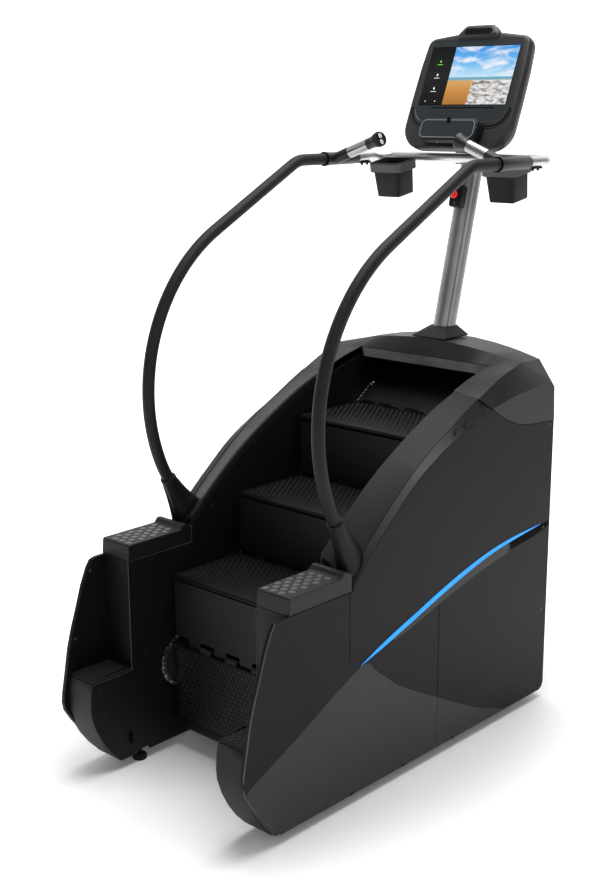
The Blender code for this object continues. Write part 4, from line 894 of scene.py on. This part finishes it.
def build_rails():
    path = rail_path()
    for name, side in SIDES:
        add(f"{name}_rail_tube", tube([(RAIL_X * side, y, z) for y, z in path], RAIL_R), RAIL, smooth=60.0,
            replaces=(f"{name}_handrail",))
        add(f"{name}_rail_boot", mirrored(boot(path), side), BLACK, smooth=38.0,
            replaces=(f"{name}_handrail_boot",))
    reach, turn = RAIL_X + 0.002, 0.062
    half = [(RAIL_X, 1.1305), (RAIL_X, 1.150)] + arc(reach - turn, BAR_Y - turn, turn, 0, 90,
                                                     18) + [(0.15, BAR_Y)]
    path = half + [(-x, y) for x, y in reversed(half)]
    add("crossbar_tube", tube([(x, y, ARM_Z + 0.002) for x, y in path], BAR_R), BAR, smooth=60.0,
        replaces=("crossbar",))
    clips = []
    for side in (-1, 1):
        x0, x1 = sorted((0.336 * side, 0.358 * side))
        clips.append(box(x0, x1, 1.150, 1.196, ARM_Z - 0.0200, ARM_Z - 0.0135))
        for y in (1.158, 1.186):
            clips.append(lathe((0.347 * side, y, ARM_Z - 0.0262), (0, 0, 1),
                               [(0.0, 0.0050), (0.008, 0.0050)], 6))
    add("crossbar_clips", merge(*clips), BLACK, bevel=0.0015)
    brackets = []
    for side in (-1, 1):
        x0, x1 = sorted((0.216 * side, 0.246 * side))
        brackets.append(box(x0, x1, 1.226, 1.262, 1.7660, 1.7715))
    add("bin_brackets", merge(*brackets), BLACK, bevel=0.0012)
    NODES["mast"].data.materials.clear()
    NODES["mast"].data.materials.append(METAL)


def build_grips():
    run = (ARM_IN - ARM_OUT).normalized()
    reach = (ARM_IN - ARM_OUT).length
    up = (Vector((0, 0, 1)) - run * run.z).normalized()
    across = run.cross(up)
    # The pod's face is cut aslant, turned a little to the user.
    face = (run + Vector((0.0, -0.26, 0.0))).normalized()
    face_up = (Vector((0, 0, 1)) - face * face.z).normalized()
    face_across = face.cross(face_up)

    def limb_ring(along, radius, slant):
        centre = ARM_OUT + run * along
        v, w = up.lerp(face_up, slant).normalized(), across.lerp(face_across, slant).normalized()
        return circle(centre, w, v, radius, 40)

    for name, side in SIDES:
        tube_part = lathe((RAIL_X, 0.9621, ARM_Z), (0, 1, 0),
                          [(0.0, 0.0215), (0.0015, 0.0228), (0.006, 0.0232), (0.030, 0.0215),
                           (0.1660, 0.0200),
                           (0.1680, 0.0190)], 40)
        sections = ((0.004, 0.0185, 0), (0.062, 0.0192, 0), (0.0660, 0.0182, 0), (0.0675, 0.0155, 0),
                    (0.1495, 0.0155, 0),
                    (0.1505, 0.0178, 0), (0.1560, 0.0182, 0), (0.1680, 0.0190, 0.2), (0.1780, 0.0215, 0.5),
                    (0.1870, 0.0245, 0.8), (reach - 0.0040, 0.0252, 1), (reach - 0.0010, 0.0246, 1),
                    (reach - 0.0002, 0.0225, 1), (reach - 0.0004, 0.0208, 1), (reach - 0.0034, 0.0202, 1))
        limb = loft([limb_ring(*section) for section in sections])
        add(f"{name}_grip_body", mirrored(merge(tube_part, limb), side), GRIP, smooth=42.0,
            replaces=(f"{name}_grip_arm",))
        collar = lathe((RAIL_X, 0.9612, ARM_Z), (0, 1, 0),
                       [(0.0, 0.0195), (0.0, 0.0226), (0.0012, 0.0238), (0.0040, 0.0238), (0.0052, 0.0228)])
        add(f"{name}_grip_collar", mirrored(collar, side), BLACK_AND_SHADE, smooth=50.0)
        contact = NODES[f"{name}_pulse_contact"]
        contact.data.materials.clear()
        contact.data.materials.append(CHROME)
        teeth = []
        for i in range(18):
            start = ARM_OUT + run * (0.0700 + 0.0042 * i) + up * 0.0184
            teeth.append(lathe(start, run, [(0.0, 0.0011), (0.0022, 0.0011)], 6))
        seam = tube([ARM_OUT + run * along + across * 0.0178 - up * 0.0066 for along in (0.069, 0.108,
                                                                                         0.147)], 0.0007, 6)
        add(f"{name}_contact_comb", mirrored(merge(seam, *teeth), side), GRIP)
        ring = []
        for radius, lift in ((0.0244, 0.0001), (0.0244, 0.0007), (0.0228, 0.0007), (0.0228, 0.0001)):
            ring.append(circle(ARM_IN + face * lift, face_across, face_up, radius, 40))
        add(f"{name}_pod_ring", mirrored(loft(ring, closed=True), side), RIDGE, smooth=50.0)
        for key, sign in (("up", 1), ("down", -1)):
            centre = ARM_IN + up * (0.0105 * sign) + run * 0.0019
            body = f"{name}_{key}_button"
            refine(body, GRIP, 0.0004, 2, 50.0)
            rings = []
            for size, lift in ((0.0078, 0.0), (0.0078, 0.0008), (0.0058, 0.0008), (0.0058, 0.0)):
                rings.append(circle(centre + run * lift, across, up, size, 24))
            mark = loft(rings, closed=True)
            arrow = [centre + up * 0.0036 * sign, centre - up * 0.0022 * sign + across * 0.0036,
                     centre - up * 0.0022 * sign - across * 0.0036]
            pointer = loft([arrow, [p + run * 0.0008 for p in arrow]])
            add(f"{name}_{key}_mark", mirrored(merge(mark, pointer), side), WHITE_GLOW, body)


def build_stop():
    along = Vector((0.0, math.sin(MAST_LEAN), math.cos(MAST_LEAN)))
    out = Vector((0.0, -math.cos(MAST_LEAN), math.sin(MAST_LEAN)))
    middle = mast_point((1.652 - MAST_FOOT[1]) / math.cos(MAST_LEAN))
    refine("stop_button_housing", BLACK, 0.0016, 3)
    face = middle + out * (MAST_R + 0.0262)
    heads = [hole(face + along * v, out, 0.0046) for v in (0.0265, -0.0245)]
    add("stop_housing_screws", merge(*heads), BOLT)
    base = middle + along * 0.002 + out * (MAST_R + 0.0200)
    profile = [(0.0, 0.0080), (0.0115, 0.0080), (0.0115, 0.0124), (0.0122, 0.0130), (0.0165, 0.0130)]
    profile += [(0.0165 + 0.0040 * math.sin(math.radians(a)), 0.0130 * math.cos(math.radians(a)) ** 0.6)
                for a in (20, 40, 60, 75)] + [(0.0205, 0.0015)]
    add("stop_mushroom", lathe(base, out, profile), RED_GLOW, "stop_button", 50.0, replaces=("stop_button",))


BIN_RIM, BIN_TILT = (0.2312, 1.1814, 1.7784), math.radians(10.5)
# Depth below the rim, half widths, corner radius: up the outside, over the rim and down the inside.
BIN_SECTIONS = (
    (0.1160, 0.0450, 0.0400, 0.008), (0.1150, 0.0468, 0.0414, 0.009), (0.1120, 0.0480, 0.0425, 0.010),
    (0.0325, 0.0555, 0.0445, 0.014), (0.0321, 0.0660, 0.0495, 0.018), (0.0310, 0.0669, 0.0504, 0.018),
    (0.0025, 0.0674, 0.0510, 0.018), (0.0006, 0.0668, 0.0504, 0.018), (0.0000, 0.0654, 0.0490, 0.017),
    (0.0000, 0.0630, 0.0465, 0.015), (0.0008, 0.0620, 0.0455, 0.014), (0.0320, 0.0520, 0.0405, 0.010),
    (0.1120, 0.0445, 0.0385, 0.009))


def build_bins():
    x0, y0, z0 = BIN_RIM
    for name, side in SIDES:
        rings = []
        for depth, half_x, half_y, radius in BIN_SECTIONS:
            shape = rounded_rect(x0 - half_x, x0 + half_x, y0 - half_y, y0 + half_y, radius, 9)
            rings.append([(x, y, z0 - depth) for x, y in shape])
        add(f"{name}_bin_cup", mirrored(turned(loft(rings), BIN_TILT, (y0, z0)), side), BLACK, smooth=30.0,
            replaces=(f"{name}_bin",))
        band = []
        for depth, grow in ((0.0305, 0.0001), (0.0303, 0.0006), (0.0030, 0.0006), (0.0028, 0.0001)):
            shape = rounded_rect(x0 - 0.0672 - grow, x0 + 0.0672 + grow, y0 - 0.0508 - grow,
                                 y0 + 0.0508 + grow,
                                 0.018, 9)
            band.append([(x, y, z0 - depth) for x, y in shape])
        add(f"{name}_bin_band", mirrored(turned(loft(band, closed=True), BIN_TILT, (y0, z0)), side), BAND,
            smooth=30.0)


# ---- console ---------------------------------------------------------------------------------------
def console_point(x, v, n):
    s, c = math.sin(CONSOLE_TILT), math.cos(CONSOLE_TILT)
    return Vector((x, CONSOLE[0] + v * s - n * c, CONSOLE[1] + v * c + n * s))


def console_outline(grow=0.0, low=-0.251, count=14):
    bottom_corner, top_corner = 0.082 + grow, max(0.030 + grow, 0.008)
    right = arc(0.2128 + grow - bottom_corner, low - grow + bottom_corner, bottom_corner, -90, 0, count)
    right += [(0.2128 + grow, -0.080), (0.2105 + grow, 0.030)]
    right += arc(0.2040 + grow - top_corner, 0.136 + grow - top_corner, top_corner, 5, 80, count)
    right += [(0.090, 0.1475 + grow)]
    left = [(-x, v) for x, v in reversed(right)]
    return right + [(0.0, 0.1500 + grow)] + left


def console_loft(shape, levels, closed=False):
    return loft([[console_point(x, v, n) for x, v in shape(k)] for n, k in levels], closed)


def console_plate(outline, n0, n1):
    return loft([[console_point(x, v, n) for x, v in outline] for n in (n0, n1)])


def plate_outline(grow=0.0, low=-0.157):
    """The slate overlay round the display: follows the rim above and closes in a deep bowl below."""
    corner = 0.050 + grow
    right = [(0.0, low - grow)]
    right += arc(0.1830 + grow - corner, low - grow + corner, corner, -90, 0, 10)
    right += [(0.1860 + grow, 0.020)] + arc(0.1800 + grow - 0.012, 0.108 + grow, 0.012, 5, 82, 6)
    right += [(0.090, 0.1235 + grow), (0.0, 0.1255 + grow)]
    return right + [(-x, v) for x, v in reversed(right[1:-1])]


def build_console():
    shell = ((-0.0760, -0.046), (-0.0740, -0.040), (-0.0660, -0.022), (-0.0560, -0.011), (-0.0450, -0.005),
             (-0.0330, -0.001), (-0.0215, 0.0))
    add("console_shell", console_loft(console_outline, shell), SHELL, smooth=40.0,
        replaces=("console_back",))
    rim = ((-0.0208, -0.0012), (-0.0200, 0.0), (-0.0080, 0.0), (-0.0045, -0.0010), (-0.0018, -0.0035),
           (-0.0004, -0.0070),
           (0.0, -0.0120))
    rings = [[console_point(x, v, n) for x, v in console_outline(grow)] for n, grow in rim]
    add("console_rim", loft(rings), SHELL, smooth=40.0, replaces=("console_bezel",))

    def hump_shape(k):
        half = [(0.0800 - k, 0.1275 + k), (0.0800 - k, 0.1440), (0.0740 - k, 0.1520 - k),
                (0.0620 - k, 0.1650 - k),
                (0.0540 - k, 0.1708 - k), (0.0420, 0.1720 - k)]
        return half + [(-x, v) for x, v in reversed(half)]

    hump = loft([[console_point(x, v, n) for x, v in hump_shape(k)]
                 for n, k in ((-0.0205, 0.0), (0.0050, 0.0), (0.0085, 0.0020), (0.0108, 0.0050),
                              (0.0118, 0.0100))])
    add("console_hump", hump, SHELL, smooth=32.0)
    # The hump's slot is a near-black plate: painted shade in the slot.
    add("console_hump_slot", console_plate(rounded_rect(-0.055, 0.055, 0.138, 0.1585, 0.0098, 8), 0.0112,
                                           0.0120),
        BLACK_AND_SHADE, bevel=0.0003)
    ribs = [console_plate(rounded_rect(x - 0.0016, x + 0.0016, 0.141, 0.1555, 0.0014, 3), 0.0115, 0.0128)
            for x in spread(-0.046, 0.046, 9)]
    add("console_hump_ribs", merge(*ribs), BLACK)

    # A step, the slate overlay inside it, and the creases of the chin below, drawn as dark lines that are
    # painted shade in the creases.
    step = [[console_point(x, v, n) for x, v in plate_outline(grow)]
            for grow, n in ((0.0075, -0.0004), (0.0060, 0.0012), (0.0030, 0.0012), (0.0010, 0.0),
                            (0.0, -0.0006))]
    add("console_step", loft(step, closed=True), SHELL, smooth=30.0)
    add("console_overlay", console_plate(plate_outline(0.0004), -0.0010, 0.0004), SLATE)
    for k, (drop, wide) in enumerate(((0.0125, 0.0022), (0.0205, 0.0014))):
        crease = [(x, v) for x, v in plate_outline(drop, -0.160) if v < -0.060]
        crease.sort(key=lambda q: math.atan2(q[1] + 0.060, q[0]))
        line = [console_point(x, v, 0.0002) for x, v in crease]
        add(f"chin_crease_{k + 1}", tube(line, wide, 8), (BLACK_AND_SHADE, BLACK)[k], smooth=50.0)
    glass = [(-SCREEN_HALF, -SCREEN_HIGH), (SCREEN_HALF, -SCREEN_HIGH), (SCREEN_HALF, SCREEN_HIGH),
             (-SCREEN_HALF, SCREEN_HIGH)]
    add("display_glass", console_plate(glass, -0.0070, 0.0008), screen_material(),
        replaces=("display_screen",))
    border = [[console_point(x * kx, v * kv, n) for x, v in glass]
              for n, kx, kv in ((0.0, 1.010, 1.017), (0.0010, 1.010, 1.017), (0.0010, 1.0, 1.0),
                                (0.0, 1.0, 1.0))]
    add("display_border", loft(border, closed=True), BLACK_AND_SHADE)
    # The groove is a thin near-black strip: painted shade in the groove.
    groove = rounded_rect(-0.120, 0.135, -0.1130, -0.1095, 0.0016, 3)
    add("console_groove", console_plate(groove, 0.0002, 0.0007), BLACK_AND_SHADE)

    tiles, marks, green = [], [], []
    for row, v in enumerate((0.047, 0.000, -0.047)):
        outer = rounded_rect(-0.151, -0.107, v - 0.013, v + 0.013, 0.003, 4)
        inner = rounded_rect(-0.150, -0.108, v - 0.012, v + 0.012, 0.0024, 4)
        rings = [[console_point(x, w, n) for x, w in shape]
                 for shape, n in ((outer, 0.0004), (outer, 0.0011), (inner, 0.0011), (inner, 0.0004))]
        tiles.append(loft(rings, closed=True))
        store = green if row == 0 else marks
        store.append(console_plate([(-0.129 + 0.0028 * math.cos(a), v + 0.004 + 0.0040 * math.sin(a))
                                    for a in [math.pi / 6 * i for i in range(12)]], 0.0004, 0.0011))
        store.append(console_plate(rounded_rect(-0.140, -0.118, v - 0.0078, v - 0.0062, 0.0007, 3), 0.0004,
                                   0.0011))
    for x in (-0.152, -0.112):
        marks.append(console_plate(rounded_rect(x - 0.0018, x + 0.0018, -0.090, -0.0865, 0.0015, 3), 0.0004,
                                   0.0011))
    add("screen_tiles", merge(*tiles), SLATE)
    add("screen_marks", merge(*marks), WHITE_GLOW)
    add("screen_green_mark", merge(*green),
        surface("screen_green", (0.16, 0.55, 0.02), 0.4, mottle=0.03, emit=0.4))

    build_shelf()
    lip = rounded_rect(-0.128, 0.128, -0.2475, -0.2425, 0.0022, 4)
    add("console_lower_lip", console_plate(lip, -0.0006, 0.0022), RIDGE, bevel=0.0008)


def build_shelf():
    """Slate device ledge with a silver outline, a centre peg, two screws and two small ports below."""
    def shape(k):
        return rounded_rect(-0.116 + k, 0.116 - k, -0.238 + k, -0.160 - k, max(0.026 - k, 0.004), 10)

    body = console_loft(shape, ((0.0004, 0.0), (0.0320, 0.0), (0.0365, 0.0012), (0.0392, 0.0040),
                                (0.0400, 0.0080)))
    add("shelf_body", body, BLACK, smooth=40.0, replaces=("device_shelf",))
    outline = console_loft(shape, ((0.0396, 0.0086), (0.0406, 0.0086), (0.0406, 0.0106), (0.0396, 0.0106)),
                           closed=True)
    add("shelf_outline", outline, SILVER, smooth=40.0)
    add("shelf_overlay", console_loft(shape, ((0.0396, 0.0107), (0.0403, 0.0107))), SLATE)
    peg = console_plate(rounded_rect(-0.006, 0.006, -0.178, -0.162, 0.003, 5), 0.0390, 0.0450)
    add("shelf_peg", peg, BLACK_AND_SHADE, bevel=0.0012)
    out = (console_point(0, 0, 1) - console_point(0, 0, 0)).normalized()
    heads = [hole(console_point(x, -0.196, 0.0396), out, 0.0040) for x in (-0.1095, 0.1095)]
    add("shelf_screws", merge(*heads), BOLT)
    down = (console_point(0, -1, 0) - console_point(0, 0, 0)).normalized()
    ports = [lathe(console_point(x, -0.2378, 0.020), down, [(0.0, 0.0032), (0.0007, 0.0032),
                                                            (0.0007, 0.0020)], 16)
             for x in (-0.040, 0.040)]
    add("shelf_ports", merge(*ports), SILVER)


def build_feet():
    for end in ("front", "rear"):
        for name, _ in SIDES:
            refine(f"{end}_{name}_foot", RUBBER, 0.0008, 2, 50.0)


FLOOR_GLOW = (0.05, 0.80)


# ---- studio ----------------------------------------------------------------------------------------
def build_studio():
    floor_mesh = bpy.data.meshes.new("studio_floor")
    reach, wall, bend = 18.0, 9.0, 2.4
    profile = [(-reach, 0.0)] + [(wall - bend + bend * math.sin(a), bend - bend * math.cos(a))
                                 for a in spread(0.0, math.pi / 2, 16)] + [(wall, 14.0)]
    bm = bmesh.new()
    rows = [[bm.verts.new((x, y, z)) for x in (-reach, reach)] for y, z in profile]
    for a, b in zip(rows, rows[1:]):
        bm.faces.new((a[0], a[1], b[1], b[0]))
    spin = Matrix.Rotation(math.radians(43.0), 4, "Z")
    bmesh.ops.transform(bm, matrix=spin, verts=bm.verts)
    bm.to_mesh(floor_mesh)
    bm.free()
    floor_mesh.shade_smooth()
    paper = bpy.data.materials.new("white_paper")
    paper.use_nodes = True
    shader = paper.node_tree.nodes["Principled BSDF"]
    shader.inputs["Base Color"].default_value = (0.92, 0.92, 0.92, 1.0)
    shader.inputs["Roughness"].default_value = 0.95
    shader.inputs["Specular IOR Level"].default_value = 0.0
    shader.inputs["Emission Color"].default_value = (1.0, 1.0, 1.0, 1.0)
    # The paper glows softly away from the machine, so that it stays white out to the edges.
    tree = paper.node_tree
    place = tree.nodes.new("ShaderNodeTexCoord")
    squash = tree.nodes.new("ShaderNodeMapping")
    squash.inputs["Scale"].default_value = (1.0, 0.75, 1.0)
    reach_out = tree.nodes.new("ShaderNodeVectorMath")
    reach_out.operation = "LENGTH"
    glow = tree.nodes.new("ShaderNodeMapRange")
    glow.interpolation_type = "SMOOTHSTEP"
    for name, value in (("From Min", 0.50), ("From Max", 1.30), ("To Min", FLOOR_GLOW[0]),
                        ("To Max", FLOOR_GLOW[1])):
        glow.inputs[name].default_value = value
    tree.links.new(place.outputs["Object"], squash.inputs["Vector"])
    tree.links.new(squash.outputs["Vector"], reach_out.inputs[0])
    tree.links.new(reach_out.outputs["Value"], glow.inputs["Value"])
    tree.links.new(glow.outputs["Result"], shader.inputs["Emission Strength"])
    floor_mesh.materials.append(paper)
    floor = bpy.data.objects.new("studio_floor", floor_mesh)
    bpy.context.scene.collection.objects.link(floor)

    def softbox(name, at, aim, size, power):
        light = bpy.data.lights.new(name, "AREA")
        light.shape = "RECTANGLE"
        light.size, light.size_y = size
        light.energy = power
        lamp = bpy.data.objects.new(name, light)
        lamp.location = at
        lamp.rotation_euler = (Vector(aim) - Vector(at)).to_track_quat("-Z", "Y").to_euler()
        bpy.context.scene.collection.objects.link(lamp)

    softbox("top_softbox", (0.2, 0.3, 4.6), (0.0, 0.0, 1.0), (3.2, 3.2), 200.0)
    softbox("front_softbox", (3.0, -3.8, 2.8), (0.0, 0.0, 1.0), (2.0, 2.4), 26.0)
    softbox("right_softbox", (4.2, 0.8, 2.2), (0.0, 0.0, 1.0), (1.0, 3.0), 16.0)
    softbox("left_softbox", (-3.2, -1.6, 2.6), (0.0, 0.0, 1.2), (1.0, 3.0), 10.0)
    world = bpy.data.worlds.new("studio")
    world.use_nodes = True
    background = world.node_tree.nodes["Background"]
    background.inputs["Color"].default_value = (1.0, 1.0, 1.0, 1.0)
    background.inputs["Strength"].default_value = 0.16
    bpy.context.scene.world = world
    bpy.context.scene.view_settings.view_transform = "Standard"


def build_camera():
    yaw, pitch, roll = math.radians(42.951), math.radians(14.187), math.radians(-0.240)
    ahead = Vector((-math.sin(yaw) * math.cos(pitch), math.cos(yaw) * math.cos(pitch), -math.sin(pitch)))
    level = Vector((math.cos(yaw), math.sin(yaw), 0.0))
    upright = level.cross(ahead)
    right = level * math.cos(roll) + upright * math.sin(roll)
    up = upright * math.cos(roll) - level * math.sin(roll)
    data = bpy.data.cameras.new("camera")
    data.sensor_width = 36.0
    data.lens = 54.35
    camera = bpy.data.objects.new("camera", data)
    camera.matrix_world = Matrix((
        (right.x, up.x, -ahead.x, 2.6985), (right.y, up.y, -ahead.y, -2.4289 - Y_MID),
        (right.z, up.z, -ahead.z, 1.9618 + LIFT), (0.0, 0.0, 0.0, 1.0)))
    bpy.context.scene.collection.objects.link(camera)
    bpy.context.scene.camera = camera


def main():
    build_camera()
    build_studio()
    build_steps()
    build_drive()
    build_side_details()
    build_wall_details()
    build_pads()
    build_covers()
    build_rails()
    build_grips()
    build_stop()
    build_bins()
    build_console()
    build_feet()


main()
